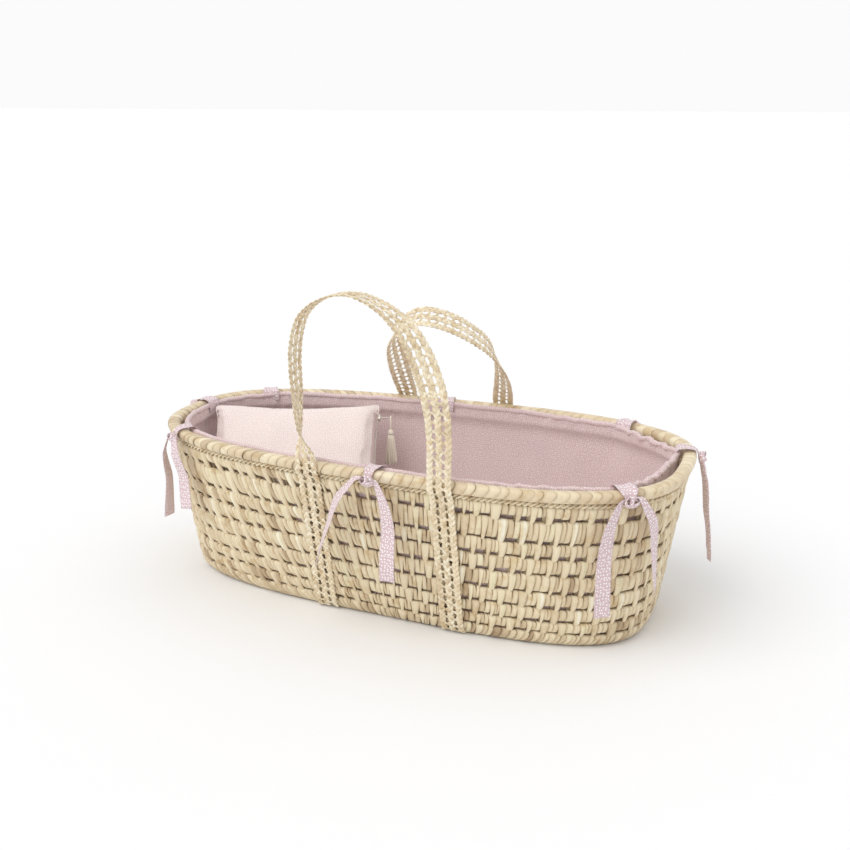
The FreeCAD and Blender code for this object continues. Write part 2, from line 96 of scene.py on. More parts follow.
def outline_sizes(z, inset):
    """Half length, half width and exponent at height z: straight lines from the floor to the rim,
    with the foot's curl taken off as a square near the floor, less the inset."""
    share = np.clip(z / HEIGHT, 0, 1.2)
    curl = FOOT_TUCK * (1 - np.clip(1 - z / row_edges[1], 0, 1) ** 2)
    long = BASE_HALF[0] + curl + (RIM_HALF[0] - BASE_HALF[0] - FOOT_TUCK) * share - inset
    wide = BASE_HALF[1] + curl + (RIM_HALF[1] - BASE_HALF[1] - FOOT_TUCK) * share - inset
    return long, wide, SQUARENESS[0] + (SQUARENESS[1] - SQUARENESS[0]) * share


def outline(turn, z, inset=0.0):
    """Points of the outline: r = (|cos t / a|^n + |sin t / b|^n)^(-1/n), then x = r cos t and
    y = r sin t (1 + taper x / a)."""
    turn, z, inset = np.broadcast_arrays(turn, z, inset)
    long, wide, power = outline_sizes(z, inset)
    reach = (np.abs(np.cos(turn) / long) ** power + np.abs(np.sin(turn) / wide) ** power) ** (-1 / power)
    x = reach * np.cos(turn)
    return np.stack([x, reach * np.sin(turn) * (1 + TAPER * x / long), z], -1)


def half_width(x, z):
    """Half width of the outline at station x: b (1 - |x/a|^n)^(1/n) (1 + taper x / a)."""
    long, wide, power = outline_sizes(z, 0.0)
    return wide * (1 - abs(x / long) ** power) ** (1 / power) * (1 + TAPER * x / long)


TURNS = np.linspace(0, 2 * np.pi, 4097)


def ring_lengths(z, inset=0.0):
    """Length walked along the outline up to each of TURNS."""
    steps = np.linalg.norm(np.diff(outline(TURNS, z, inset), axis=0), axis=1)
    return np.concatenate([[0], np.cumsum(steps)])


def turn_at(length, z, inset=0.0):
    """The turn at a walked length, from the table; lengths past the end start again."""
    table = ring_lengths(z, inset)
    return np.interp(length % table[-1], table, TURNS)


print("rim length %.3f m, base length %.3f m" % (ring_lengths(HEIGHT)[-1], ring_lengths(0.0)[-1]))

# %% [markdown]
# ## Grids into meshes
# Nearly every piece here is a grid of points: a profile carried along a path. One helper turns
# such grids into a mesh, with a tone for each patch and a UV map in metres, so that the materials
# know which way a strip or a thread runs.

# %% Mesh helpers


def grid_faces(rows, columns, close_rows=False, close_columns=False):
    """Corner numbers of the quads of one grid; a closed direction joins its last line to its first."""
    row = np.arange(rows if close_rows else rows - 1)
    column = np.arange(columns if close_columns else columns - 1)
    row, column = np.meshgrid(row, column, indexing="ij")
    after_row, after_column = (row + 1) % rows, (column + 1) % columns
    quads = np.stack([row * columns + column, after_row * columns + column,
                      after_row * columns + after_column, row * columns + after_column], -1)
    return quads.reshape(-1, 4)


def make_mesh(name, points, faces, tone=None, uv=None, smooth=True):
    """A mesh object from points (n, 3), quads (m, 4), and a tone and a UV for each point."""
    mesh = bpy.data.meshes.new(name)
    mesh.vertices.add(len(points))
    mesh.vertices.foreach_set("co", np.asarray(points, np.float32).ravel())
    mesh.loops.add(faces.size)
    mesh.loops.foreach_set("vertex_index", faces.ravel().astype(np.int32))
    mesh.polygons.add(len(faces))
    mesh.polygons.foreach_set("loop_start", np.arange(0, faces.size, faces.shape[1], dtype=np.int32))
    mesh.polygons.foreach_set("use_smooth", np.full(len(faces), smooth))
    if tone is not None:
        mesh.attributes.new("tone", "FLOAT", "POINT").data.foreach_set("value", tone.astype(np.float32))
    if uv is not None:
        layer = mesh.uv_layers.new(name="metres")
        layer.data.foreach_set("uv", uv[faces.ravel()].astype(np.float32).ravel())
    mesh.update(calc_edges=True)
    mesh.validate()
    piece = bpy.data.objects.new(name, mesh)
    bpy.context.scene.collection.objects.link(piece)
    return piece


def patches(name, grid, close_rows=False, close_columns=False, tone=0.5, uv=None):
    """Many equal grids (patch, row, column, 3) as one mesh; tone is one number for each patch."""
    count, rows, columns = grid.shape[:3]
    one = grid_faces(rows, columns, close_rows, close_columns)
    faces = (one[None] + (np.arange(count) * rows * columns)[:, None, None]).reshape(-1, 4)
    tone = np.broadcast_to(np.reshape(tone, (-1, 1, 1) if np.ndim(tone) == 1 else np.shape(tone)),
                           grid.shape[:3])
    uv = None if uv is None else np.broadcast_to(uv, grid.shape[:3] + (2,)).reshape(-1, 2)
    return make_mesh(name, grid.reshape(-1, 3), faces, tone.ravel(), uv)


def smooth_noise(length, period, seed, around=None):
    """A wavy number from -1 to 1: three sines of the length, with seeded phases; with a
    perimeter given, whole waves fit round it."""
    rng = np.random.default_rng(seed)
    total = 0
    for octave in (1.0, 1.9, 3.1):
        waves = octave / period
        if around is not None:
            waves = max(1, round(waves * around)) / around
        total = total + np.sin(2 * np.pi * (length * waves + rng.random())) / octave
    return total / 1.85


# %% [markdown]
# ## Camera, floor and light
# The camera stands a little above the rim, turned towards the wider end. A white floor under a
# bright sky, palest at the horizon, gives the pale studio look. Two suns as broad as soft boxes,
# one from the front left and a faint one from above, model the weave and leave a faint shadow.

# %% Camera
camera_back = Vector((0.3684, -0.8846, 0.2860)).normalized()
camera = bpy.data.objects.new("camera", bpy.data.cameras.new("camera"))
camera.location = (0.6348, -1.4982, 0.745)
camera.rotation_euler = (-camera_back).to_track_quat("-Z", "Y").to_euler()
camera.data.lens = 46.57
camera.data.sensor_width = 36
bpy.context.scene.collection.objects.link(camera)
bpy.context.scene.camera = camera

# %% Floor and lights


def shader(name):
    """A new material, its node tree and its main shader."""
    material = bpy.data.materials.new(name)
    material.use_nodes = True
    return material, material.node_tree, material.node_tree.nodes["Principled BSDF"]


def node(tree, kind, inputs=None, **settings):
    """A shader node with its settings, its plain input values and its links."""
    made = tree.nodes.new(kind)
    for key, value in settings.items():
        setattr(made, key, value)
    for key, value in (inputs or {}).items():
        if isinstance(value, bpy.types.NodeSocket):
            tree.links.new(value, made.inputs[key])
        else:
            made.inputs[key].default_value = value
    return made


def floor_material():
    """White paper: a faint, broad mottle in its colour."""
    material, tree, main = shader("studio_paper")
    place = node(tree, "ShaderNodeTexCoord").outputs["Object"]
    mottle = node(tree, "ShaderNodeTexNoise", {"Vector": place, "Scale": 3.0, "Detail": 2.0})
    ramp = node(tree, "ShaderNodeValToRGB", {"Fac": mottle.outputs["Fac"]})
    ramp.color_ramp.elements[0].color = (0.90, 0.90, 0.905, 1)
    ramp.color_ramp.elements[1].color = (0.91, 0.91, 0.915, 1)
    tree.links.new(ramp.outputs["Color"], main.inputs["Base Color"])
    main.inputs["Roughness"].default_value = 0.9
    main.inputs["Specular IOR Level"].default_value = 0.1
    return material


def sun(name, place, strength, spread):
    """An even light that comes from the way of place, as soft as its spread in degrees."""
    data = bpy.data.lights.new(name, "SUN")
    data.energy = strength
    data.angle = math.radians(spread)
    made = bpy.data.objects.new(name, data)
    made.rotation_euler = (-Vector(place)).to_track_quat("-Z", "Y").to_euler()
    bpy.context.scene.collection.objects.link(made)


FLOOR_HALF, FLOOR_DROP = 60.0, 0.0005
corners = np.array([(-1, -1, 0), (1, -1, 0), (1, 1, 0), (-1, 1, 0)]) * FLOOR_HALF
floor = make_mesh("floor", corners - np.array([0, 0, FLOOR_DROP]), np.array([[0, 1, 2, 3]]))
floor.data.materials.append(floor_material())

HORIZON_LIGHT, SKY_LIGHT = 0.965, 0.68
HORIZON_TOP, SKY_FROM = 0.14, 0.5
world = bpy.data.worlds.new("studio")
world.use_nodes = True
sky_tree = world.node_tree
direction = node(sky_tree, "ShaderNodeTexCoord").outputs["Object"]
upward = node(sky_tree, "ShaderNodeSeparateXYZ", {"Vector": direction}).outputs["Z"]
sky = node(sky_tree, "ShaderNodeMapRange", {"Value": upward, "From Min": HORIZON_TOP, "From Max": SKY_FROM,
                                            "To Min": HORIZON_LIGHT, "To Max": SKY_LIGHT})
sky_tree.links.new(sky.outputs["Result"], sky_tree.nodes["Background"].inputs["Strength"])
sky_tree.nodes["Background"].inputs["Color"].default_value = (1.0, 1.0, 1.0, 1)
bpy.context.scene.world = world
sun("key", (-1.1, -1.5, 2.4), 1.2, 50)
sun("top", (0.7, 0.5, 2.4), 0.35, 60)
bpy.context.scene.view_settings.view_transform = "Standard"

# %% [markdown]
# ## Palm leaf
# Dried palm strips are cream, straw or a little green, each strip one tone, with fine ribs along
# the leaf and a dull gloss. The tone comes from the mesh, so each strip is its own colour; at a
# wrapped strip's two edges it falls to the ramp's darkest stops, which is painted shade in the
# grooves. The ribs read the UV map, in metres across and along the strip.

# %% The palm materials


def ramp(tree, value, stops):
    """A colour ramp over a value, from (place, colour) stops."""
    made = node(tree, "ShaderNodeValToRGB", {"Fac": value})
    elements = made.color_ramp.elements
    while len(elements) < len(stops):
        elements.new(0.5)
    for element, (place, colour) in zip(elements, stops):
        element.position = place
        element.color = (*colour, 1)
    return made.outputs["Color"]


def mix_colours(tree, mode, share, first, second):
    """Two colours mixed; either may be a socket or a plain colour."""
    made = tree.nodes.new("ShaderNodeMix")
    made.data_type = "RGBA"
    made.blend_type = mode
    for socket, value in zip((made.inputs[0], made.inputs[6], made.inputs[7]), (share, first, second)):
        if isinstance(value, bpy.types.NodeSocket):
            tree.links.new(value, socket)
        else:
            socket.default_value = value
    return made.outputs[2]


def bump(tree, main, height, strength, distance):
    """Bump from a height socket, in metres, into the main shader."""
    made = node(tree, "ShaderNodeBump", {"Height": height, "Strength": strength, "Distance": distance})
    tree.links.new(made.outputs["Normal"], main.inputs["Normal"])


def palm_material(name, stops, rib=0.16, roughness=0.5):
    """Tone picks the leaf's colour from a ramp, and at the lowered edges of wrapped strips painted
    shade in the grooves; noise stretched along the strip darkens and raises fine ribs, and broad
    noise adds stains."""
    material, tree, main = shader(name)
    tone = node(tree, "ShaderNodeAttribute", attribute_name="tone").outputs["Fac"]
    leaf = ramp(tree, tone, stops)
    metres = node(tree, "ShaderNodeUVMap", uv_map="metres").outputs["UV"]
    along = node(tree, "ShaderNodeMapping", {"Vector": metres, "Scale": (1400.0, 60.0, 1.0)})
    ribs = node(tree, "ShaderNodeTexNoise",
                {"Vector": along.outputs["Vector"], "Scale": 1.0, "Detail": 3.0})
    place = node(tree, "ShaderNodeTexCoord").outputs["Object"]
    blots = node(tree, "ShaderNodeTexNoise", {"Vector": place, "Scale": 60.0, "Detail": 4.0})
    ribbed = ramp(tree, ribs.outputs["Fac"], [(0.3, (1 - rib,) * 3), (0.62, (1, 1, 1))])
    stained = ramp(tree, blots.outputs["Fac"], [(0.32, (0.86, 0.79, 0.68)), (0.46, (1, 1, 1))])
    colour = mix_colours(tree, "MULTIPLY", 1.0, mix_colours(tree, "MULTIPLY", 1.0, leaf, ribbed), stained)
    tree.links.new(colour, main.inputs["Base Color"])
    bump(tree, main, ribs.outputs["Fac"], 0.35, 0.0004)
    main.inputs["Roughness"].default_value = roughness
    main.inputs["Specular IOR Level"].default_value = 0.35
    return material


# The darkest stops of STRAW and PALE are mostly reached at strip edges, where they are painted shade in the
# grooves between strips.
STRAW = [(0.0, (0.13, 0.085, 0.055)), (0.16, (0.42, 0.295, 0.175)), (0.34, (0.68, 0.55, 0.36)),
         (0.55, (0.80, 0.675, 0.465)), (0.8, (0.87, 0.755, 0.54)), (0.9, (0.80, 0.73, 0.48)),
         (1.0, (0.94, 0.87, 0.70))]
PALE = [(0.0, (0.30, 0.21, 0.12)), (0.3, (0.72, 0.58, 0.39)), (0.7, (0.84, 0.72, 0.51)),
        (1.0, (0.91, 0.82, 0.62))]
BRAID = [(0.0, (0.50, 0.37, 0.22)), (0.2, (0.76, 0.62, 0.42)), (0.6, (0.90, 0.77, 0.55)),
         (1.0, (0.97, 0.90, 0.72))]
palm_strip = palm_material("palm_strip_leaf", STRAW)
palm_rim = palm_material("palm_rim_leaf", PALE, rib=0.12, roughness=0.42)
palm_braid = palm_material("palm_braid_leaf", BRAID, rib=0.22)
palm_cord = palm_material("palm_cord_leaf", BRAID, rib=0.4, roughness=0.6)

# %% [markdown]
# ## Wrapped rows
# A coiled row is a bundle of palm stalks wrapped round and round with leaf strips; every few
# turns a strip goes on down and is stitched into the row below, and between those stitches the
# rows stand apart in short slits. Each strip here is one closed patch: a loop round the row's
# oval, crowned across its width, so that light and shadow fall as on the real wrapping.

# %% Wrapped strips
ACROSS = np.array([-1.0, -0.86, -0.3, 0.3, 0.86, 1.0])
CROWN = np.array([-1.4, 0.2, 1.0, 1.0, 0.2, -1.4])
# EDGE_SHADE lowers each strip's tone towards its two edges, down to the ramp's near-black stops: painted
# shade in the grooves between strips.
EDGE_SHADE = np.array([1.0, 0.3, 0.0, 0.0, 0.3, 1.0])
OVAL = 2.6


def oval(steps, power=OVAL):
    """Around a superellipse: across and up are |cos|^(2/n) and |sin|^(2/n), with their signs."""
    angle = np.linspace(0, 2 * np.pi, steps, endpoint=False)
    across = np.sign(np.cos(angle)) * np.abs(np.cos(angle)) ** (2 / power)
    up = np.sign(np.sin(angle)) * np.abs(np.sin(angle)) ** (2 / power)
    return across, up


def wrapped_strips(length, width, fan, lean, low, high, inset, thick, crown, lift, table_z,
                   steps=14, tilt=0.0):
    """Strips round a row. Along the outline: length + lean * up + t (width + fan * up) / 2.
    Up the wall: from low to high on an oval. Outwards: half the thickness on the oval, plus the
    crown across the strip, its own lift over its neighbours, and its tilt onto the next one."""
    across, up = oval(steps)
    strips = [np.asarray(value, float).reshape(-1, 1, 1)
              for value in np.broadcast_arrays(length, width, fan, lean, low, high, crown, lift)]
    length, width, fan, lean, low, high, crown, lift = strips
    up, across = up.reshape(1, -1, 1), across.reshape(1, -1, 1)
    t = ACROSS.reshape(1, 1, -1)
    raised = crown * CROWN.reshape(1, 1, -1) + lift + tilt * t
    walked = length + lean * up + t * (width + fan * up) / 2
    z = (low + high) / 2 + ((high - low) / 2 + raised * 0.2) * up + 0 * t
    out = (thick / 2 + raised) * across
    points = outline(turn_at(walked, table_z), z, inset - out)
    around = np.cumsum(np.hypot(np.diff(up[0, :, 0], append=up[0, 0, 0]) * 0.012,
                                np.diff(across[0, :, 0], append=across[0, 0, 0]) * 0.004))
    uv = np.stack(np.broadcast_arrays(t * width / 2 + length, around.reshape(1, -1, 1) + length * 7), -1)
    return points, uv


GROUP = 24.5 * MM
FILLS = 2
STITCH_DEPTH = 3.5 * MM
slit_heights = np.array([1.5, 3.6, 4.6, 5.2, 5.4, 6.2, 6.4, 6.0, 8.6, 1.0]) * MM


def tone_with_painted_groove_shade(tone, points):
    """Each strip's tone over its points, falling to the darkest at the strip's two edges: painted shade in
    the grooves between strips.
    """
    return np.broadcast_to(np.reshape(tone, (-1, 1, 1)) * (1 - EDGE_SHADE), points.shape[:3])


def row_layout(number, rng):
    """Groups round a row: one stitch and its fill strips. Gives the row's middle height and length
    round, and each strip's place, width and whether it is a stitch. Every other row starts half a
    group on."""
    middle = (row_edges[number - 1] + row_edges[number]) / 2
    around = ring_lengths(middle)[-1]
    groups = round(around / GROUP)
    pitch = around / groups
    start = (np.arange(groups) + 0.5 * (number % 2) + 0.28 * rng.uniform(-1, 1, groups)) * pitch
    shares = np.tile([0.40, 0.30, 0.30], (groups, 1)) * rng.uniform(0.8, 1.2, (groups, FILLS + 1))
    ends = np.append(start[1:], start[0] + around)
    shares = shares / shares.sum(1, keepdims=True) * (ends - start)[:, None]
    places = start[:, None] + np.cumsum(shares, 1) - shares / 2
    stitch = np.zeros_like(places, bool)
    stitch[:, 0] = True
    return middle, around, places.ravel(), shares.ravel(), stitch.ravel()


def wall_row(number):
    """One row of the wall as two patches of strips: fills inside the row, stitches past its foot."""
    rng = np.random.default_rng(100 + number)
    middle, around, place, width, stitch = row_layout(number, rng)
    turn = turn_at(place, middle)
    to_left = np.clip(0.5 - np.cos(turn) * 1.4, 0, 1)
    slit_low = slit_heights[number - 1] * (0.76 + 0.5 * smooth_noise(place, 0.13, 10 + number, around))
    slit_high = slit_heights[number] * (0.76 + 0.5 * smooth_noise(place, 0.13, 11 + number, around))
    low_wave = 1.1 * MM * smooth_noise(place, 0.33, 30 + number, around) * (number > 1)
    high_wave = 1.1 * MM * smooth_noise(place, 0.33, 31 + number, around) * (number < ROWS)
    low = row_edges[number - 1] + low_wave + slit_low * 0.55
    high = row_edges[number] + high_wave - slit_high * 0.45
    jitter = rng.uniform(-0.5, 0.5, (3, len(place))) * MM
    if number > 1:
        low = np.where(stitch, low - slit_low - STITCH_DEPTH, low + jitter[0] * 0.8)
    high = high + jitter[1] * 0.7
    fan = np.where(stitch, 3.8 * MM, -1.0 * MM)
    lean = -(0.4 + 2.6 * to_left) * MM + jitter[2]
    crown = (1.05 + 0.5 * to_left) * MM * rng.uniform(0.8, 1.2, len(place))
    lift = np.where(stitch, 0.55, 0.1) * MM + rng.uniform(0, 0.35, len(place)) * MM
    tone = rng.normal(0.6, 0.17, len(place)) + np.where(stitch, 0.14, -0.03) - 0.1 * (number < 3)
    tone = np.clip(tone, 0.22, 1)
    cover = np.where(stitch, 0.95, 1.02)
    points, uv = wrapped_strips(place, width * cover, fan, lean, low, high, WALL / 2, WALL - 1.2 * MM,
                                crown, lift, middle)
    # The strip edges get painted shade in the grooves through their tone.
    piece = patches("row_%d_wrap" % number, points, close_rows=True, tone=tone_with_painted_groove_shade(tone, points), uv=uv)
    piece.data.materials.append(palm_strip)
    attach(piece, "basket")
    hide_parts("wall_row_%d" % number)
    return len(place)


strip_counts = [wall_row(number) for number in range(1, ROWS + 1)]
print("strips in each row", strip_counts)

# %% [markdown]
# ## The rim
# The rim is the same wrapping done over a thicker bundle with wide, smooth strips, laid at a
# slant so that each covers the edge of the last. Under it a two-ply twisted cord lashes the
# roll to the wall.

# %% Rim roll
rim_mid = (rim_low + HEIGHT) / 2
rim_around = ring_lengths(rim_mid)[-1]
rim_count = round(rim_around / (15 * MM))
rim_rng = np.random.default_rng(7)
rim_place = (np.arange(rim_count) + 0.15 * rim_rng.uniform(-1, 1, rim_count)) * rim_around / rim_count
rim_points, rim_uv = wrapped_strips(
    rim_place, 18.5 * MM * rim_rng.uniform(0.9, 1.1, rim_count), 0.0, 5 * MM,
    rim_low + 0.4 * MM, HEIGHT - 0.6 * MM, WALL / 2, 18.4 * MM,
    0.30 * MM * rim_rng.uniform(0.7, 1.3, rim_count), 0.3 * MM, rim_mid, steps=24, tilt=0.5 * MM)
rim_tone = np.clip(rim_rng.normal(0.6, 0.2, rim_count), 0.25, 1)
# The rim strips' edges get the same painted shade in the grooves.
rim = patches("rim_wrap", rim_points, close_rows=True, tone=tone_with_painted_groove_shade(rim_tone, rim_points), uv=rim_uv)
rim.data.materials.append(palm_rim)
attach(rim, "basket")
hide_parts("rim_roll")
print("rim wraps", rim_count)

# %% Twisted lashing


def strand_patches(centre, across, through, half_wide, half_thick, steps=8):
    """Tubes along paths: centre (strand, station, 3) with an ellipse in the plane of two unit
    vectors, centre + a cos * across + b sin * through."""
    angle = np.linspace(0, 2 * np.pi, steps, endpoint=False).reshape(1, 1, -1, 1)
    return (centre[:, :, None] + half_wide * np.cos(angle) * across[:, :, None]
            + half_thick * np.sin(angle) * through[:, :, None])


def outward(turn, z):
    """Level unit vector out of the outline: the way along it, turned a quarter to the right."""
    step = outline(turn + 1e-3, z) - outline(turn - 1e-3, z)
    normal = np.stack([step[..., 1], -step[..., 0], 0 * step[..., 0]], -1)
    return normal / np.linalg.norm(normal, axis=-1, keepdims=True)


UP = np.array([0.0, 0.0, 1.0])
lash_z = (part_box("rim_lashing")[0].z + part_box("rim_lashing")[1].z) / 2
lash_walk = np.linspace(0, ring_lengths(lash_z)[-1], 1201)[:-1]
lash_turn = turn_at(lash_walk, lash_z)
lash_out = outward(lash_turn, lash_z)
twist = 2 * np.pi * round(lash_walk[-1] / (17 * MM)) * np.arange(1200) / 1200
ply = twist[None] + np.array([[0.0], [np.pi]])
lash_centre = outline(lash_turn, lash_z, 0.9 * MM)[None]
lash_swing = np.cos(ply)[..., None] * lash_out[None] + np.sin(ply)[..., None] * UP
lash_centre = lash_centre + 1.9 * MM * lash_swing
lash_points = strand_patches(lash_centre, np.broadcast_to(lash_out, lash_centre.shape),
                             np.broadcast_to(UP, lash_centre.shape), 1.7 * MM, 1.9 * MM)
lash_tone = 0.45 + 0.3 * smooth_noise(lash_walk, 0.045, 5)
lash_uv = np.stack(np.broadcast_arrays(np.arange(8).reshape(1, 1, -1) * 1.3 * MM,
                                       lash_walk.reshape(1, -1, 1) + 0 * lash_points[..., 0]), -1)
lashing = patches("rim_lashing_cord", lash_points, close_rows=True, close_columns=True,
                  tone=np.broadcast_to(lash_tone.reshape(1, -1, 1), lash_points.shape[:3]), uv=lash_uv)
lashing.data.materials.append(palm_cord)
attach(lashing, "basket")
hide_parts("rim_lashing")

# %% [markdown]
# ## Straps and handles
# One openwork braid makes each handle and its two straps: three flat plaits side by side, tied by
# slanting strips that leave two columns of holes. It is made once along a straight line in
# numbers, then carried along a route: up the wall, over the arch, and down the wall.

# %% Braid along a route


def smooth_route(points, sides, step=1.9 * MM):
    """A Catmull-Rom curve through points, at even steps, with its directions: along, across
    (sides, made square to along) and through, their cross product."""
    padded = np.vstack([2 * points[:1] - points[1:2], points, 2 * points[-1:] - points[-2:-1]])
    flags = np.vstack([sides[:1], sides, sides[-1:]])
    t = np.linspace(0, 1, 24, endpoint=False)[None, :, None]

    def between(values):
        a, b, c, d = (values[start:len(values) - 3 + start, None] for start in range(4))
        return (0.5 * (2 * b + (c - a) * t + (2 * a - 5 * b + 4 * c - d) * t ** 2
                       + (3 * b - a - 3 * c + d) * t ** 3)).reshape(-1, 3)

    dense = np.vstack([between(padded), points[-1:]])
    turned = np.vstack([between(flags), sides[-1:]])
    walked = np.concatenate([[0], np.cumsum(np.linalg.norm(np.diff(dense, axis=0), axis=1))])
    even = np.linspace(0, walked[-1], int(walked[-1] / step))
    route = np.stack([np.interp(even, walked, dense[:, axis]) for axis in range(3)], -1)
    across = np.stack([np.interp(even, walked, turned[:, axis]) for axis in range(3)], -1)
    along = np.gradient(route, even, axis=0)
    along /= np.linalg.norm(along, axis=1, keepdims=True)
    across -= (across * along).sum(1, keepdims=True) * along
    across /= np.linalg.norm(across, axis=1, keepdims=True)
    return even, route, along, across, np.cross(along, across)


PLAITS = np.array([-13.2, 0.0, 13.2]) * MM
PLAIT_TURN = 25 * MM
HOLE_PITCH = 13 * MM


def braid(name, points, sides, seed):
    """Three plaits of three strands, x = A sin, height = B sin 2t a third of a turn apart, and
    four slanting strips, which swing from plait to plait in a smooth zigzag."""
    even, route, along, across, through = smooth_route(points, sides)
    rng = np.random.default_rng(seed)
    phase = 2 * np.pi * even / PLAIT_TURN
    third = 2 * np.pi / 3 * np.arange(3)
    plait = phase[None, None] + third[None, :, None] + rng.uniform(0, 6, 3)[:, None, None]
    offset = (PLAITS[:, None, None] + 2.5 * MM * np.sin(plait)).reshape(9, -1)
    height = (0.95 * MM * np.sin(2 * plait)).reshape(9, -1)
    zigzag = 2 * np.pi * even[None] / (2 * HOLE_PITCH) + np.array([[0.0], [np.pi], [0.7], [0.7 + np.pi]])
    middle = np.array([[-1.0], [-1.0], [1.0], [1.0]]) * 6.6 * MM
    offset = np.vstack([offset, middle + 6.2 * MM * np.sin(zigzag)])
    height = np.vstack([height, 0.35 * MM * np.cos(zigzag)])
    offset = offset + 0.35 * MM * smooth_noise(even[None] + 0.37 * np.arange(13)[:, None], 0.041, seed)
    centre = (route[None] + offset[..., None] * across[None] + height[..., None] * through[None])
    wide = np.full((13, 1, 1, 1), 2.6 * MM)
    wide[9:] = 2.1 * MM
    grid = strand_patches(centre, np.broadcast_to(across, centre.shape),
                          np.broadcast_to(through, centre.shape), wide, 0.7 * MM)
    pieces_of_leaf = np.floor(even[None] / 0.058 + 7.3 * np.arange(13)[:, None]).astype(int)
    tone = rng.uniform(0.15, 0.95, 500)[pieces_of_leaf % 500]
    tone = np.broadcast_to(tone[:, :, None], grid.shape[:3])
    uv = np.stack(np.broadcast_arrays(np.arange(8).reshape(1, 1, -1) * MM, even.reshape(1, -1, 1),
                                      grid[..., 0])[:2], -1)
    piece = patches(name, grid, close_columns=True, tone=tone, uv=uv)
    close_ends(piece, 13, len(even), 8)
    piece.data.materials.append(palm_braid)
    print(name, "length %.3f m" % even[-1])
    return piece


def close_ends(piece, strands, stations, steps):
    """Caps both ends of every strand with one face each."""
    mesh = piece.data
    first = np.arange(strands)[:, None] * stations * steps
    ring = np.arange(steps)
    caps = np.vstack([first + ring[::-1], first + (stations - 1) * steps + ring])
    work = bmesh.new()
    work.from_mesh(mesh)
    work.verts.ensure_lookup_table()
    for cap in caps:
        work.faces.new([work.verts[index] for index in cap])
    work.to_mesh(mesh)
    work.free()


# %% Routes of the straps and arches
STRAP_THICK = 4 * MM
PROUD = 1.2 * MM
STRAP_FOOT = 3.0 * MM
strap_x = {name: (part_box(name)[0].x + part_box(name)[1].x) / 2
           for name in ("strap_front_left", "strap_front_right", "strap_rear_left", "strap_rear_right")}
rim_out = 6 * MM
lashing_low = row_edges[-1]


def wall_route(x, side):
    """Stations of a strap up the wall at x, and out past the rim."""
    levels = [(STRAP_FOOT, 0.4 * MM), (row_edges[1] / 2, PROUD), (row_edges[1], PROUD),
              (row_edges[3], PROUD), (row_edges[5], PROUD), (row_edges[7], PROUD),
              (lashing_low - 6 * MM, PROUD + 0.4 * MM),
              (rim_low + 2 * MM, rim_out + 0.6 * MM), (HEIGHT - 5 * MM, rim_out + 0.6 * MM)]
    return np.array([(x, side * (half_width(x, z) + out + GAP + STRAP_THICK / 2), z) for z, out in levels])


# place along the span, share of the rise, and twist of the braid in degrees
FRONT_ARCH = [(-1.0, 0.03, -5), (-1.02, 0.08, -22), (-1.04, 0.13, -45), (-1.07, 0.22, -72),
              (-1.09, 0.42, -85), (-1.1, 0.66, -90), (-0.96, 0.86, -90), (-0.62, 0.97, -90),
              (-0.2, 1.0, -90), (0.22, 0.94, -80), (0.56, 0.82, -62), (0.78, 0.66, -40),
              (0.93, 0.48, -22), (1.0, 0.27, -8), (1.0, 0.03, 0)]
REAR_ARCH = [(-1.0, 0.03, 8), (-0.94, 0.25, 25), (-0.86, 0.48, 45), (-0.74, 0.7, 70), (-0.42, 0.9, 85),
             (0.05, 1.0, 90), (0.5, 0.96, 90), (0.86, 0.85, 85), (1.12, 0.7, 75), (1.2, 0.5, 50),
             (1.16, 0.28, 28), (1.02, 0.03, 5)]
ARCH_RISE = 245 * MM


def arch_route(route, joint, side, left_x, right_x, lean):
    """The arch's stations in the model's frame: upright over its pivot line, leaned about it."""
    pivot = np.array(joint["pos_m"])
    feet = [np.array([x, side * (half_width(x, HEIGHT) + rim_out + GAP + STRAP_THICK / 2), HEIGHT])
            for x in (left_x, right_x)]
    span = feet[1] - feet[0]
    reach = np.linalg.norm(span)
    ahead = span / reach
    aside = np.cross(UP, ahead)
    upward = math.cos(lean) * UP - math.sin(lean) * aside
    level = math.cos(lean) * aside + math.sin(lean) * UP
    share, rise, turn = np.array(route).T
    flat = np.stack([share * reach / 2, rise * ARCH_RISE], -1)
    ends = np.vstack([flat[:1], flat, flat[-1:]])
    tangent = ends[2:] - ends[:-2]
    tangent /= np.linalg.norm(tangent, axis=1, keepdims=True)
    tangent[0], tangent[-1] = (0, 1), (0, -1)
    turn = np.radians(turn)[:, None]
    points = pivot + flat[:, :1] * ahead + flat[:, 1:] * upward
    sides = (tangent[:, 1:] * ahead - tangent[:, :1] * upward) * np.cos(turn) + level * np.sin(turn)
    return points, sides


def strap_and_handle(end, route, side, lean, seed):
    """One braid: up the left strap, over the arch and down the right strap."""
    left, right = strap_x["strap_%s_left" % end], strap_x["strap_%s_right" % end]
    joint = joints["%s_handle_swing" % end]
    up, down = wall_route(left, side), wall_route(right, side)[::-1]
    points, sides = arch_route(route, joint, side, left, right, lean)
    along_wall = np.array([1.0, 0.0, 0.0])
    wall_turn = [np.tile(along_wall, (len(up), 1)), np.tile(-along_wall, (len(down), 1))]
    piece = braid("braid_%s" % end, np.vstack([up, points, down]),
                  np.vstack([wall_turn[0], sides, wall_turn[1]]), seed)
    body = "handle_%s" % end
    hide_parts(body, "strap_%s_left" % end, "strap_%s_right" % end)
    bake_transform(piece)


REAR_LEAN = math.radians(45)
strap_and_handle("front", FRONT_ARCH, -1, 0.0, 21)
strap_and_handle("rear", REAR_ARCH, 1, REAR_LEAN, 22)

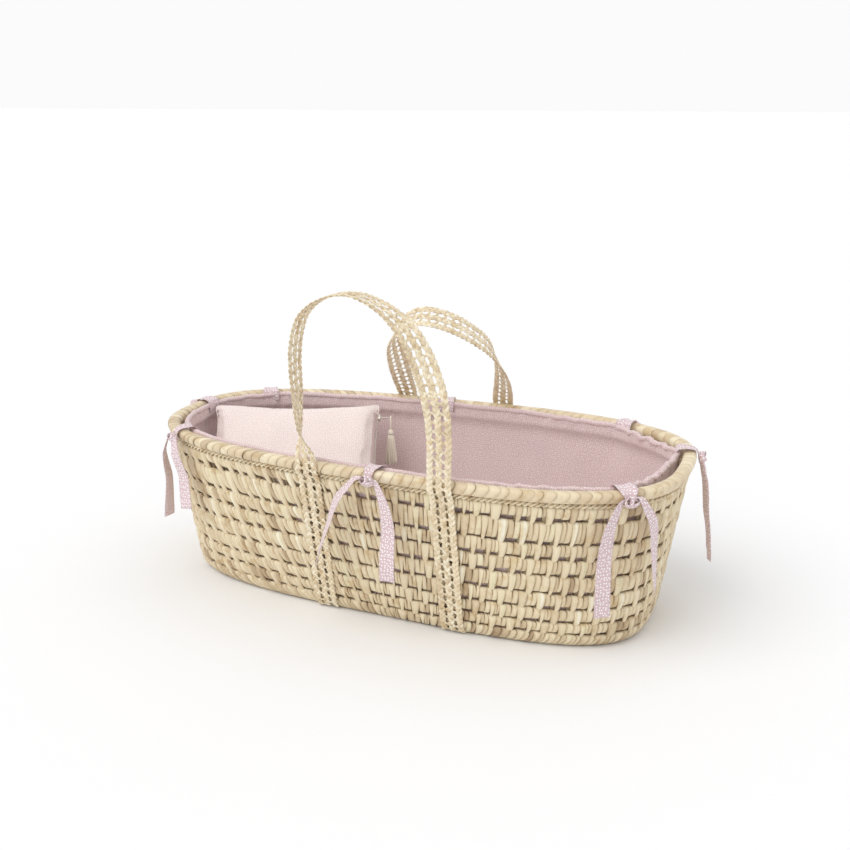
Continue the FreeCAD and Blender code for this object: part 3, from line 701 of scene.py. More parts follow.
# %% Straps under the base
UNDER_RUN = np.array([3.2, 2.3, 2.1, 2.1, 2.1, 2.1, 2.3, 3.2]) * MM
for side_name in ("left", "right"):
    front_x, rear_x = strap_x["strap_front_" + side_name], strap_x["strap_rear_" + side_name]
    shares = np.array([0, 0.02, 0.1, 0.35, 0.65, 0.9, 0.98, 1.0])
    start_y = -(half_width(front_x, 0.0) + 1.5 * MM)
    end_y = half_width(rear_x, 0.0) + 1.5 * MM
    run = np.stack([front_x + (rear_x - front_x) * shares, start_y + (end_y - start_y) * shares,
                    UNDER_RUN], -1)
    under = braid("braid_under_" + side_name, run, np.tile([1.0, 0.0, 0.0], (len(run), 1)), 31)
    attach(under, "basket")
    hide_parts("strap_under_" + side_name)

# %% [markdown]
# ## The base
# The bottom is coiled too: the same wrapped row, laid flat and wound inwards, ring inside ring,
# until a last short one fills the middle. Each ring is closed here, which from below looks the
# same as one long coil.

# %% Coiled base
mat_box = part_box("base_mat")
MAT_THICK = mat_box[1].z - mat_box[0].z
COIL = 21.5 * MM


def base_ring(inset, rng):
    """Strips round one flat ring: the same oval as a row's, with up turned to inwards."""
    around = ring_lengths(0.0, inset)[-1]
    count = max(8, round(around / (9 * MM)))
    across, up = oval(12)
    walked = (np.arange(count) + rng.uniform(-0.2, 0.2, count)) * around / count
    t = ACROSS.reshape(1, 1, -1)
    crown = 0.6 * MM * CROWN.reshape(1, 1, -1)
    lean = 3 * MM * up.reshape(1, -1, 1)
    turn = turn_at(walked.reshape(-1, 1, 1) + lean + t * around / count * 0.56, 0.0, inset)
    half = MAT_THICK / 2 - 2.2 * MM
    z = (mat_box[0].z + MAT_THICK / 2 + 0.4 * MM) - (half + crown) * across.reshape(1, -1, 1)
    inwards = inset + (COIL / 2 - 0.4 * MM) * up.reshape(1, -1, 1) + 0 * t
    points = outline(turn, 0.0, inwards)
    points[..., 2] = z + 0 * inwards
    along = up.reshape(1, -1, 1) * 0.012 + walked.reshape(-1, 1, 1) * 7
    uv = np.stack(np.broadcast_arrays(t * 5 * MM, along), -1)
    return points, uv, np.clip(rng.normal(0.45, 0.2, count), 0, 1)


base_rng = np.random.default_rng(3)
first_inset = WALL + GAP + COIL / 2 + 0.5 * MM
ring_count = int((BASE_HALF[1] - first_inset) / COIL) + 1
rings = [base_ring(first_inset + COIL * turn, base_rng) for turn in range(ring_count)]
base = patches("base_coil", np.concatenate([ring[0] for ring in rings]), close_rows=True,
               tone=np.concatenate([ring[2] for ring in rings]),
               uv=np.concatenate([ring[1] for ring in rings]))
base.data.materials.append(palm_strip)
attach(base, "basket")
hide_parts("base_mat")
print("base rings", ring_count)

# %% [markdown]
# ## Dotted cotton
# The liner, ties and cushion are one printed cotton: dusty rose with small cream dots, set close
# and a little unevenly. The dots are cells of a Voronoi pattern on the UV map, which is in metres,
# so a dot keeps its size on every piece. Fine crossed threads go into the bump.

# %% The cloth materials


def threads(tree, metres, pitch):
    """Crossed threads: the sum of two sine waves, one each way; half a wave is one thread."""
    waves = [node(tree, "ShaderNodeTexWave", {"Vector": metres, "Scale": 0.5 / pitch, "Distortion": 1.5},
                  wave_type="BANDS", bands_direction=way).outputs["Fac"] for way in "XY"]
    return node(tree, "ShaderNodeMath", {0: waves[0], 1: waves[1]}, operation="ADD").outputs["Value"]


def cotton(name, ground, dot, spacing, size=0.30):
    """Printed cotton: a dot is where the distance to the nearest cell's middle is under size."""
    material, tree, main = shader(name)
    metres = node(tree, "ShaderNodeUVMap", uv_map="metres").outputs["UV"]
    wobble = node(tree, "ShaderNodeTexNoise", {"Vector": metres, "Scale": 420.0, "Detail": 1.0})
    moved = node(tree, "ShaderNodeVectorMath", {0: wobble.outputs["Color"], 1: (0.0005,) * 3},
                 operation="MULTIPLY")
    placed = node(tree, "ShaderNodeVectorMath", {0: metres, 1: moved.outputs["Vector"]}, operation="ADD")
    cells = node(tree, "ShaderNodeTexVoronoi", {"Vector": placed.outputs["Vector"], "Scale": 1 / spacing,
                                                "Randomness": 0.6}, voronoi_dimensions="2D")
    print_ramp = ramp(tree, cells.outputs["Distance"], [(size - 0.05, (1, 1, 1)), (size + 0.05, (0, 0, 0))])
    fade = node(tree, "ShaderNodeTexNoise", {"Vector": metres, "Scale": 14.0, "Detail": 3.0})
    tint = ramp(tree, fade.outputs["Fac"], [(0.3, (0.93, 0.93, 0.94)), (0.7, (1.0, 1.0, 1.0))])
    colour = mix_colours(tree, "MIX", print_ramp, (*ground, 1), (*dot, 1))
    tree.links.new(mix_colours(tree, "MULTIPLY", 1.0, colour, tint), main.inputs["Base Color"])
    bump(tree, main, threads(tree, metres, 0.7 * MM), 0.25, 0.0002)
    main.inputs["Roughness"].default_value = 0.85
    main.inputs["Sheen Weight"].default_value = 0.25
    main.inputs["Specular IOR Level"].default_value = 0.2
    return material


ROSE, PETAL = (0.73, 0.555, 0.55), (0.73, 0.555, 0.575)
liner_cotton = cotton("dotted_cotton_liner", ROSE, (0.90, 0.82, 0.80), spacing=3.4 * MM, size=0.24)
tie_cotton = cotton("dotted_cotton_ties", PETAL, (0.98, 0.96, 0.96), spacing=4.4 * MM, size=0.25)
cushion_cotton = cotton("dotted_cotton_cushion", (0.88, 0.74, 0.70), (0.98, 0.94, 0.90),
                        spacing=3.4 * MM, size=0.25)
sheet_cotton = cotton("plain_cotton_sheet", (0.86, 0.83, 0.79), (0.89, 0.86, 0.82), spacing=2.0 * MM)

# %% [markdown]
# ## The liner
# A padded wall of cotton stands inside the basket, sewn to a padded floor, with a rolled hem at
# its top. Where a tie holds it, it meets the rim; at the two ends it falls away from the rim
# between the ties in scallops. Both skins are one closed profile carried round the outline.

# %% Where the ties hold the liner


def tie_turn(degrees):
    """The outline's polar turn at a tie's own angle: x = a c^(2/n), y = b s^(2/n), then atan2."""
    angle = math.radians(degrees)
    long, wide, power = outline_sizes(HEIGHT, WALL / 2)
    x = long * math.copysign(abs(math.cos(angle)) ** (2 / power), math.cos(angle))
    y = wide * math.copysign(abs(math.sin(angle)) ** (2 / power), math.sin(angle))
    return math.atan2(y, x) % (2 * math.pi)


TIE_ANGLES = {"front_left": -141, "front_middle": -89.6, "front_right": -35, "wide_end": 11,
              "rear_right": 52, "rear_middle": 91, "rear_left": 140, "narrow_end": 176}
tie_turns = {name: tie_turn(degrees) for name, degrees in TIE_ANGLES.items()}
hem_table = ring_lengths(HEIGHT, 19 * MM)
tie_walks = np.sort(np.interp(list(tie_turns.values()), TURNS, hem_table))
NARROW_PULL, WIDE_PULL = 5 * MM, 14 * MM
SIDE_PULL = 1.2 * MM


def pull(turn):
    """How far the hem falls inwards: zero at each tie, a half sine between two, deep round the
    ends and slight along the sides."""
    walked = np.interp(turn % (2 * np.pi), TURNS, hem_table)
    after = np.searchsorted(tie_walks, walked)
    low = np.where(after == 0, tie_walks[-1] - hem_table[-1], tie_walks[after - 1])
    high = np.where(after == len(tie_walks), tie_walks[0] + hem_table[-1],
                    tie_walks[after % len(tie_walks)])
    share = (walked - low) / (high - low)
    ends = np.clip(np.abs(np.cos(turn)) * 3 - 1.9, 0, 1)
    deepest = np.where(np.cos(turn) > 0, WIDE_PULL, NARROW_PULL)
    return np.sin(np.pi * share) ** 0.8 * (SIDE_PULL + (deepest - SIDE_PULL) * ends)


# %% Liner skins
LINER_OUT = WALL + GAP
LINER_THICK = 5 * MM
liner_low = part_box("liner_floor")[0].z
liner_floor_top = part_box("liner_floor")[1].z
hem_low, hem_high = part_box("liner_hem")[0].z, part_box("liner_hem")[1].z
STEP_IN = rim_out + GAP
bend_z = lashing_low - STEP_IN
liner_turns = np.linspace(0, 2 * np.pi, 961)[:-1]
FALL_FROM = 0.12


def liner_fall(z):
    """At height z: the liner's step inwards under the lashing, and its share of the hem's fall,
    which grows from FALL_FROM to the hem as a power."""
    step = STEP_IN * np.clip((z - bend_z) / (lashing_low - bend_z), 0, 1)
    return step, np.clip((z - FALL_FROM) / (hem_low - FALL_FROM), 0, 1) ** 1.6


def liner_skin(levels, thick, turn):
    """Rows of one skin: inset from the outline by height, plus the end scallops near the top and
    soft vertical folds that grow towards the hem; thick sets the skin in from the outer one."""
    levels, turn = levels[:, None], turn[None]
    step, near_top = liner_fall(levels)
    walked = np.interp(turn, TURNS, hem_table)
    folds = 1.3 * MM * smooth_noise(walked + levels * 0.25, 0.05, 41, hem_table[-1])
    folds = folds + 1.2 * MM * smooth_noise(walked - levels * 0.4, 0.13, 42, hem_table[-1])
    folds = folds * (0.25 + 0.75 * near_top)
    inset = LINER_OUT + step + thick + near_top * pull(turn) + np.abs(folds) + 0.3 * MM
    return outline(turn, levels, inset)


wall_levels = np.concatenate([np.linspace(liner_floor_top + 3 * MM, bend_z, 16),
                              np.linspace(bend_z, hem_low + 1.5 * MM, 7)[1:]])
outer = liner_skin(wall_levels, 0.0, liner_turns)
inner = liner_skin(wall_levels[::-1], LINER_THICK, liner_turns)
shares = np.array([0.0, 0.25, 0.5, 0.75, 0.95, 1.0])


def liner_bottom(z, inset, shares):
    """Flat rings of the floor: the outline at one height, shrunk by each share to its middle."""
    rim_ring = outline(liner_turns, z, inset)
    flat = rim_ring[None] * shares[:, None, None]
    flat[..., 2] = z
    return flat


under = liner_bottom(liner_low, LINER_OUT + 1.5 * MM, shares)
over = liner_bottom(liner_floor_top, LINER_OUT + LINER_THICK + 1.5 * MM, shares[::-1])
liner_grid = np.concatenate([under, outer, inner, over])
ring_step = np.linalg.norm(np.diff(liner_grid[:, 0], axis=0, prepend=liner_grid[:1, 0]), axis=1)
liner_uv = np.stack(np.broadcast_arrays(np.interp(liner_turns, TURNS, hem_table)[None],
                                        np.cumsum(ring_step)[:, None]), -1).copy()
floor_rows = np.r_[0:len(shares), len(liner_grid) - len(shares):len(liner_grid)]
liner_uv[floor_rows] = liner_grid[floor_rows][..., :2]


def merged(piece):
    """Joins doubled points, so that poles and seams are closed, and turns the faces outwards."""
    work = bmesh.new()
    work.from_mesh(piece.data)
    bmesh.ops.remove_doubles(work, verts=work.verts, dist=1e-6)
    bmesh.ops.recalc_face_normals(work, faces=work.faces)
    work.to_mesh(piece.data)
    work.free()
    return piece


liner = merged(patches("liner", liner_grid.transpose(1, 0, 2)[None], close_rows=True, tone=0.5,
                       uv=liner_uv.transpose(1, 0, 2)[None]))
liner.data.materials.append(liner_cotton)
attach(liner, "basket")
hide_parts("liner_wall", "liner_floor")
print("liner points", len(liner.data.vertices))

# %% [markdown]
# ## The rolled hem
# The liner's top edge is rolled round a soft cord. It follows the scallops, sags a little in them,
# and is gathered into small puckers at each tie.

# %% Hem roll
HEM = (hem_high - hem_low) / 2
hem_turns = np.linspace(0, 2 * np.pi, 1401)[:-1]
hem_walk = np.interp(hem_turns, TURNS, hem_table)
to_tie = (hem_walk[:, None] - tie_walks[None] + hem_table[-1] / 2) % hem_table[-1] - hem_table[-1] / 2
to_tie = np.abs(to_tie).min(1)
gathered = np.exp(-(to_tie / (26 * MM)) ** 2)
hem_pull = pull(hem_turns)
hem_inset = LINER_OUT + STEP_IN + HEM + hem_pull
hem_z = (hem_low + hem_high) / 2 - 0.30 * hem_pull
hem_z = hem_z + 0.8 * MM * smooth_noise(hem_walk, 0.12, 51, hem_table[-1])
crumple = 2.6 * MM * np.clip(hem_pull / WIDE_PULL, 0, 1)
hem_z = hem_z + crumple * smooth_noise(hem_walk, 0.034, 54, hem_table[-1])
hem_inset = hem_inset + crumple * smooth_noise(hem_walk, 0.028, 55, hem_table[-1])
hem_centre = outline(hem_turns, hem_z, hem_inset)
hem_out = outward(hem_turns, hem_z)
pucker = (1 + gathered * 0.16 * smooth_noise(hem_walk, 0.011, 52, hem_table[-1])
          + 0.05 * smooth_noise(hem_walk, 0.03, 53, hem_table[-1]))[:, None, None]
hem_angle = np.linspace(0, 2 * np.pi, 14, endpoint=False)[None, :, None]
hem_ring = np.cos(hem_angle) * hem_out[:, None] + np.sin(hem_angle) * UP
hem_grid = hem_centre[:, None] + HEM * 0.92 * pucker * hem_ring
hem_uv = np.stack(np.broadcast_arrays(hem_walk[:, None], HEM * hem_angle[..., 0]), -1)
hem = patches("liner_hem_roll", hem_grid[None], close_rows=True, close_columns=True, uv=hem_uv[None])
hem.data.materials.append(liner_cotton)
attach(hem, "basket")
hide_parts("liner_hem")

# %% [markdown]
# ## The mattress
# A foam slab in a fitted cotton sheet fills the floor. The sheet is pulled tight, so its edges are
# round and its top swells only slightly.

# %% Mattress
mattress_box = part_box("mattress_cover")
MATTRESS_INSET = LINER_OUT + LINER_THICK + 5 * MM
mat_low, mat_high = mattress_box[0].z, mattress_box[1].z
EDGE = 9 * MM
corner = np.linspace(0, np.pi / 2, 6)
profile_in = np.concatenate([EDGE * (1 - np.sin(corner)), EDGE * (1 - np.cos(corner))])
profile_z = np.concatenate([mat_low + EDGE * (1 - np.cos(corner)), mat_high - EDGE * (1 - np.sin(corner))])
mattress_turns = np.linspace(0, 2 * np.pi, 481)[:-1]
side = outline(mattress_turns[None], liner_floor_top, MATTRESS_INSET + profile_in[:, None])
side[..., 2] = profile_z[:, None]
shrink = np.array([0.0, 0.3, 0.6, 0.85])
bottom = side[:1] * shrink[:, None, None]
bottom[..., 2] = mat_low
top = side[-1:] * shrink[::-1][:, None, None]
top[..., 2] = mat_high
mattress_grid = np.concatenate([bottom, side, top])
soft = 0.5 * MM * smooth_noise(mattress_grid[..., 0] + mattress_grid[..., 1] * 0.6, 0.09, 61)
mattress_grid[..., 2] -= np.abs(soft) * (mattress_grid[..., 2] > 0.03)
mattress = merged(patches("mattress_sheet", mattress_grid.transpose(1, 0, 2)[None], close_rows=True,
                          uv=mattress_grid[..., :2].transpose(1, 0, 2)[None]))
mattress.data.materials.append(sheet_cotton)
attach(mattress, "mattress")
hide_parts("mattress_cover")

# %% [markdown]
# ## The cushion
# A cushion is two panels sewn at the edge and stuffed: thick in the middle, sharp at the seam,
# its sides drawn in between the corners. The start shape is worked out as two crowned faces; a
# short cloth simulation with air pressure inside then gives the cotton its own pull and wrinkles.
# Last it is pressed to the room it lies in: on the mattress, inside the liner.

# %% Cushion shape
CUSHION_HALF = (138.5 * MM, 143 * MM)
CUSHION_THICK = 48 * MM
CUSHION_TOP = np.array([-258, 84, 243]) * MM
CUSHION_LENGTH = 290 * MM
CUSHION_YAW, CUSHION_SLOPE = math.radians(22), math.radians(36)
yaw_turn = np.array([[math.cos(CUSHION_YAW), -math.sin(CUSHION_YAW), 0],
                     [math.sin(CUSHION_YAW), math.cos(CUSHION_YAW), 0], [0, 0, 1]])
slope_turn = np.array([[1, 0, 0], [0, math.cos(CUSHION_SLOPE), -math.sin(CUSHION_SLOPE)],
                       [0, math.sin(CUSHION_SLOPE), math.cos(CUSHION_SLOPE)]])
cushion_turn = yaw_turn @ slope_turn


def on_cushion(points):
    """From the cushion's own directions (across, up its slope, off its face) to the model's."""
    return points @ cushion_turn.T + CUSHION_TOP


def cushion_edge(u, v):
    """Place on the face: u and v from -1 to 1, sides drawn in by a share of (1 - v^2), less on
    the right side, where the zip keeps the seam straight."""
    drawn = np.where(u > 0, 0.008, 0.05)
    x = CUSHION_HALF[0] * u * (1 - drawn * (1 - v ** 2))
    y = CUSHION_HALF[1] * v * (1 - 0.045 * (1 - u ** 2)) - CUSHION_LENGTH / 2
    return x, y


side_steps = np.sin(np.linspace(-np.pi / 2, np.pi / 2, 57))
u, v = np.meshgrid(side_steps, side_steps, indexing="ij")
x, y = cushion_edge(u, v)
swell = ((1 - np.abs(u) ** 2.6) * (1 - np.abs(v) ** 2.6)) ** 0.55 * (CUSHION_THICK / 2 - 3 * MM)
face = np.stack([x, y, swell], -1)
back = face[::-1] * np.array([1, 1, -1])
cushion = merged(patches("cushion", on_cushion(np.stack([face, back])), tone=0.5))


PRESS_CLEAR = 1.0 * MM


def press(points):
    """Keeps points on the mattress and inside the liner: too low is lifted; a point outside the
    liner's inner outline is scaled in, x and y alike."""
    points = points.copy()
    points[:, 2] = np.maximum(points[:, 2], mat_high + 0.5 * MM)
    step, near_top = liner_fall(points[:, 2])
    turn = np.arctan2(points[:, 1], points[:, 0])
    inset = LINER_OUT + LINER_THICK + step + near_top * (pull(turn) + 2.6 * MM) + 1.2 * MM + PRESS_CLEAR
    long, wide, power = outline_sizes(points[:, 2], inset)
    flat_y = points[:, 1] / (1 + TAPER * points[:, 0] / long)
    reach = (np.abs(points[:, 0] / long) ** power + np.abs(flat_y / wide) ** power) ** (1 / power)
    points[:, :2] /= np.maximum(reach, 1)[:, None]
    return points


def coordinates(piece):
    """A mesh's points as an (n, 3) array."""
    points = np.zeros(len(piece.data.vertices) * 3, np.float32)
    piece.data.vertices.foreach_get("co", points)
    return points.reshape(-1, 3).astype(float)


def set_coordinates(piece, points):
    """Writes an (n, 3) array back into a mesh."""
    piece.data.vertices.foreach_set("co", points.astype(np.float32).ravel())
    piece.data.update()


def apply_modifiers(piece):
    """Makes the modifiers' result the mesh itself."""
    shown = piece.evaluated_get(bpy.context.evaluated_depsgraph_get())
    mesh = bpy.data.meshes.new_from_object(shown)
    piece.modifiers.clear()
    piece.data = mesh


# %% Cushion simulation
VOXEL = 5 * MM
CAP = 9 * MM
PRESSURE = 4.0
LAST_FRAME = 20
remesh = cushion.modifiers.new("voxels", "REMESH")
remesh.mode = "VOXEL"
remesh.voxel_size = VOXEL
apply_modifiers(cushion)
before = coordinates(cushion)
cloth = cushion.modifiers.new("cotton", "CLOTH")
cloth.settings.quality = 6
cloth.settings.mass = 0.25
cloth.settings.tension_stiffness = 12
cloth.settings.bending_stiffness = 0.3
cloth.settings.use_pressure = True
cloth.settings.uniform_pressure_force = PRESSURE
cloth.settings.effector_weights.gravity = 0
cloth.collision_settings.use_collision = False
cloth.point_cache.frame_start, cloth.point_cache.frame_end = 1, LAST_FRAME
for number in range(1, LAST_FRAME + 1):
    bpy.context.scene.frame_set(number)
apply_modifiers(cushion)
bpy.context.scene.frame_set(1)
moved = coordinates(cushion) - before
far = np.linalg.norm(moved, axis=1, keepdims=True)
settled = before + moved * np.minimum(1, CAP / np.maximum(far, 1e-9))
local = (settled - CUSHION_TOP) @ cushion_turn
local[:, 0] *= CUSHION_HALF[0] / np.abs(local[:, 0]).max()
from_middle = local[:, 1] + CUSHION_LENGTH / 2
local[:, 1] = from_middle * CUSHION_HALF[1] / np.ptp(local[:, 1]) * 2 - CUSHION_LENGTH / 2
creases = 0.9 * MM * smooth_noise(local[:, 0] * 0.8 + local[:, 1] * 0.5, 0.075, 71)
near_seam = np.clip(1.15 - np.abs(local[:, 2]) / (16 * MM), 0, 1) * 0.6 + 0.4
local[:, 2] += creases * np.sign(local[:, 2]) * near_seam
set_coordinates(cushion, press(local @ cushion_turn.T + CUSHION_TOP))
finer = cushion.modifiers.new("finer", "SUBSURF")
finer.levels = finer.render_levels = 1
apply_modifiers(cushion)
local = (coordinates(cushion) - CUSHION_TOP) @ cushion_turn
faces = np.zeros(len(cushion.data.loops), np.int32)
cushion.data.loops.foreach_get("vertex_index", faces)
layer = cushion.data.uv_layers.get("metres") or cushion.data.uv_layers.new(name="metres")
layer.data.foreach_set("uv", local[faces][:, :2].astype(np.float32).ravel())
cushion.data.polygons.foreach_set("use_smooth", np.ones(len(cushion.data.polygons), bool))
cushion.data.materials.clear()
cushion.data.materials.append(cushion_cotton)
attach(cushion, "cushion")
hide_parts("cushion_cover")
print("cushion points", len(local), "thickness %.3f m" % (local[:, 2].max() - local[:, 2].min()))

# %% Wadding
WADDING_INSIDE = 1.6 * MM
wadding_mesh = cushion.data.copy()
wadding = bpy.data.objects.new("cushion_wadding_fill", wadding_mesh)
bpy.context.scene.collection.objects.link(wadding)
normals = np.zeros(len(wadding_mesh.vertices) * 3, np.float32)
cushion.data.vertices.foreach_get("normal", normals)
shrunk = coordinates(cushion) - WADDING_INSIDE * normals.reshape(-1, 3)
set_coordinates(wadding, shrunk)
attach(wadding, "cushion")
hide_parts("cushion_fill")

# %% [markdown]
# ## The cushion's seam
# The two panels meet in a stitched edge that stands out as a thin ridge. Its place is read from
# the finished cushion: the outermost point of the edge in each direction, smoothed along the way.

# %% Seam
SEAM_STEPS = 300
near_edge = local[np.abs(local[:, 2]) < 9 * MM]
middle = np.array([0, -CUSHION_LENGTH / 2])
around = np.arctan2(near_edge[:, 1] - middle[1], near_edge[:, 0] - middle[0]) % (2 * np.pi)
distance = np.hypot(near_edge[:, 0] - middle[0], near_edge[:, 1] - middle[1])
bins = (around / (2 * np.pi) * SEAM_STEPS).astype(int) % SEAM_STEPS
outermost = np.zeros(SEAM_STEPS)
np.maximum.at(outermost, bins, distance)
height_sum, height_count = np.zeros(SEAM_STEPS), np.zeros(SEAM_STEPS)
edge_point = distance > outermost[bins] - 2.5 * MM
np.add.at(height_sum, bins[edge_point], near_edge[edge_point, 2])
np.add.at(height_count, bins[edge_point], 1)
seam_angle = (np.arange(SEAM_STEPS) + 0.5) / SEAM_STEPS * 2 * np.pi
seam_height = height_sum / np.maximum(height_count, 1)


def smoothed(values, width):
    """A running mean round a closed list."""
    return sum(np.roll(values, shift) for shift in range(-width, width + 1)) / (2 * width + 1)


outermost, seam_height = smoothed(outermost, 1), smoothed(seam_height, 3)
seam_way = np.stack([np.cos(seam_angle), np.sin(seam_angle), 0 * seam_angle], -1)
seam_line = np.array([middle[0], middle[1], 0]) + outermost[:, None] * seam_way
seam_line[:, 2] = seam_height
seam_ring = np.linspace(0, 2 * np.pi, 8, endpoint=False)[None, :, None]
off_face = np.array([0, 0, 1.0])
seam_grid = (seam_line[:, None] + 1.5 * MM * np.cos(seam_ring) * seam_way[:, None]
             + 1.1 * MM * np.sin(seam_ring) * off_face)
seam_uv = np.stack(np.broadcast_arrays(seam_angle[:, None] * 0.14, seam_ring[..., 0] * MM), -1)
seam = patches("cushion_seam", on_cushion(seam_grid)[None], close_rows=True, close_columns=True,
               uv=seam_uv[None])
seam.data.materials.append(cushion_cotton)
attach(seam, "cushion")

# %% [markdown]
# ## The zip and its slider
# The zip runs down the cushion's right edge: a woven tape folded to each side, and two rows of
# teeth, one small block repeated. The slider is a rounded metal body whose pin carries the tassel.

# %% Zip and slider
metal, metal_tree, metal_main = shader("zip_metal")
metal_place = node(metal_tree, "ShaderNodeTexCoord").outputs["Object"]
metal_wear = node(metal_tree, "ShaderNodeTexNoise", {"Vector": metal_place, "Scale": 900.0, "Detail": 4.0})
metal_colour = ramp(metal_tree, metal_wear.outputs["Fac"],
                    [(0.3, (0.62, 0.56, 0.48)), (0.7, (0.80, 0.75, 0.67))])
metal_tree.links.new(metal_colour, metal_main.inputs["Base Color"])
metal_main.inputs["Metallic"].default_value = 1.0
metal_main.inputs["Roughness"].default_value = 0.32
bump(metal_tree, metal_main, metal_wear.outputs["Fac"], 0.15, 0.0001)
tape_cloth = cotton("zip_tape_weave", (0.58, 0.44, 0.42), (0.64, 0.50, 0.47), spacing=1.1 * MM)

ZIP_START, ZIP_LENGTH, ZIP_HALF = 22 * MM, 190 * MM, 7 * MM
zip_walk = np.linspace(-ZIP_START, -ZIP_START - ZIP_LENGTH, 96)
zip_bin = np.arctan2(zip_walk - middle[1], CUSHION_HALF[0]) % (2 * np.pi)
zip_reach = np.interp(zip_bin, np.append(seam_angle, seam_angle[0] + 2 * np.pi),
                      np.append(outermost, outermost[0]))
zip_x = np.maximum(zip_reach * np.cos(zip_bin), CUSHION_HALF[0] - 6 * MM) + 0.6 * MM
fold = np.linspace(-1, 1, 9)
tape_x = zip_x[:, None] - 5.0 * MM * np.abs(fold[None]) ** 1.8
tape_top = np.stack(np.broadcast_arrays(tape_x, zip_walk[:, None], ZIP_HALF * fold[None]), -1)
tape_grid = np.concatenate([tape_top, tape_top[:, ::-1] - np.array([0.8 * MM, 0, 0])], axis=1)
fold_round = np.concatenate([fold, fold[::-1]])
tape_uv = np.stack(np.broadcast_arrays(zip_walk[:, None], fold_round[None] * ZIP_HALF), -1)
tape = patches("zip_tape_folded", on_cushion(tape_grid)[None], close_columns=True, uv=tape_uv[None])
close_ends(tape, 1, len(zip_walk), len(fold_round))
merged(tape)
tape.data.materials.append(tape_cloth)
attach(tape, "cushion")
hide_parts("zip_tape")

CUBE = np.array([(-1, -1, -1), (1, -1, -1), (1, 1, -1), (-1, 1, -1),
                 (-1, -1, 1), (1, -1, 1), (1, 1, 1), (-1, 1, 1)]) * 0.5
CUBE_FACES = np.array([(0, 3, 2, 1), (4, 5, 6, 7), (0, 1, 5, 4), (1, 2, 6, 5), (2, 3, 7, 6), (3, 0, 4, 7)])
tooth_y = np.arange(-ZIP_START - 13 * MM, -ZIP_START - ZIP_LENGTH + 3 * MM, -2.2 * MM)
tooth_x = np.interp(-tooth_y, -zip_walk, zip_x)
tooth_sides = np.array([[-0.9 * MM, 0], [0.9 * MM, 1.1 * MM]])
tooth_middle = np.stack([np.repeat(tooth_x + 0.5 * MM, 2),
                         (tooth_y[:, None] + tooth_sides[None, :, 1]).ravel(),
                         np.tile(tooth_sides[:, 0], len(tooth_y))], -1)
teeth_points = tooth_middle[:, None] + CUBE[None] * np.array([1.2, 1.1, 2.4]) * MM
teeth_faces = (CUBE_FACES[None] + 8 * np.arange(len(tooth_middle))[:, None, None]).reshape(-1, 4)
teeth = make_mesh("zip_teeth", on_cushion(teeth_points.reshape(-1, 3)), teeth_faces, smooth=False)
teeth.data.materials.append(metal)
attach(teeth, "cushion")


def ball(centre, axes, radii, power, steps=16):
    """A superellipsoid: sines and cosines to the power 2/n along three unit axes."""
    rise = np.linspace(-np.pi / 2, np.pi / 2, steps)[:, None]
    turn = np.linspace(0, 2 * np.pi, 2 * steps, endpoint=False)[None]

    def soft(value):
        return np.sign(value) * np.abs(value) ** (2 / power)

    parts = [soft(np.cos(rise)) * soft(np.cos(turn)), soft(np.cos(rise)) * soft(np.sin(turn)),
             soft(np.sin(rise)) + 0 * turn]
    return centre + sum(part[..., None] * radius * axis for part, radius, axis in zip(parts, radii, axes))


pin = np.array(joints["tassel_swing"]["pos_m"])
pin_axis = np.array(joints["tassel_swing"]["axis"])
slider_axes = cushion_turn.T
slider_local = (pin - CUSHION_TOP) @ cushion_turn
SLIDER_OUT = 4.0 * MM
slider_x = tooth_x.max() + SLIDER_OUT
slider_middle = on_cushion(np.array([slider_x, slider_local[1], 0.0]))
body_grid = ball(slider_middle, slider_axes, (2.6 * MM, 6 * MM, 4.2 * MM), power=3.6)
pin_walk = np.linspace(0, 1, 14)
pin_end = np.clip(pin_walk - 0.9, 0, 1)[:, None]
pin_line = slider_middle + (pin - slider_middle) * pin_walk[:, None] + pin_axis * pin_end * 12 * MM
pin_radius = 1.05 * MM * np.sqrt(np.clip(1 - (2 * np.abs(pin_walk - 0.5)) ** 12, 0.02, 1))
ring = np.linspace(0, 2 * np.pi, 12, endpoint=False)[None, :, None]
pin_side = np.cross(pin_axis, UP)
pin_grid = pin_line[:, None] + pin_radius[:, None, None] * (np.cos(ring) * pin_side + np.sin(ring) * UP)
slider = merged(patches("slider", body_grid[None], close_columns=True))
pin_piece = patches("slider_pin", pin_grid[None], close_columns=True)
close_ends(pin_piece, 1, len(pin_walk), ring.size)
merged(pin_piece)
for piece in (slider, pin_piece):
    piece.data.materials.append(metal)
    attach(piece, "zip_slider")
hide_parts("zip_slider")

# %% [markdown]
# ## The tassel
# Cotton yarn looped over the slider's pin, wound tight below it for a head, and left to hang as a
# skirt. Each yarn of the skirt is its own thin tube that leaves the head and spreads to the hem.

# %% Tassel
yarn, yarn_tree, yarn_main = shader("tassel_yarn")
yarn_metres = node(yarn_tree, "ShaderNodeUVMap", uv_map="metres").outputs["UV"]
yarn_twist = node(yarn_tree, "ShaderNodeTexWave",
                  {"Vector": yarn_metres, "Scale": 420.0, "Distortion": 2.0},
                  wave_type="BANDS", bands_direction="DIAGONAL")
yarn_colour = ramp(yarn_tree, yarn_twist.outputs["Fac"],
                   [(0.0, (0.95, 0.84, 0.66)), (1.0, (0.98, 0.94, 0.84))])
yarn_tree.links.new(yarn_colour, yarn_main.inputs["Base Color"])
yarn_main.inputs["Roughness"].default_value = 0.8
yarn_main.inputs["Sheen Weight"].default_value = 0.3
bump(yarn_tree, yarn_main, yarn_twist.outputs["Fac"], 0.5, 0.0003)

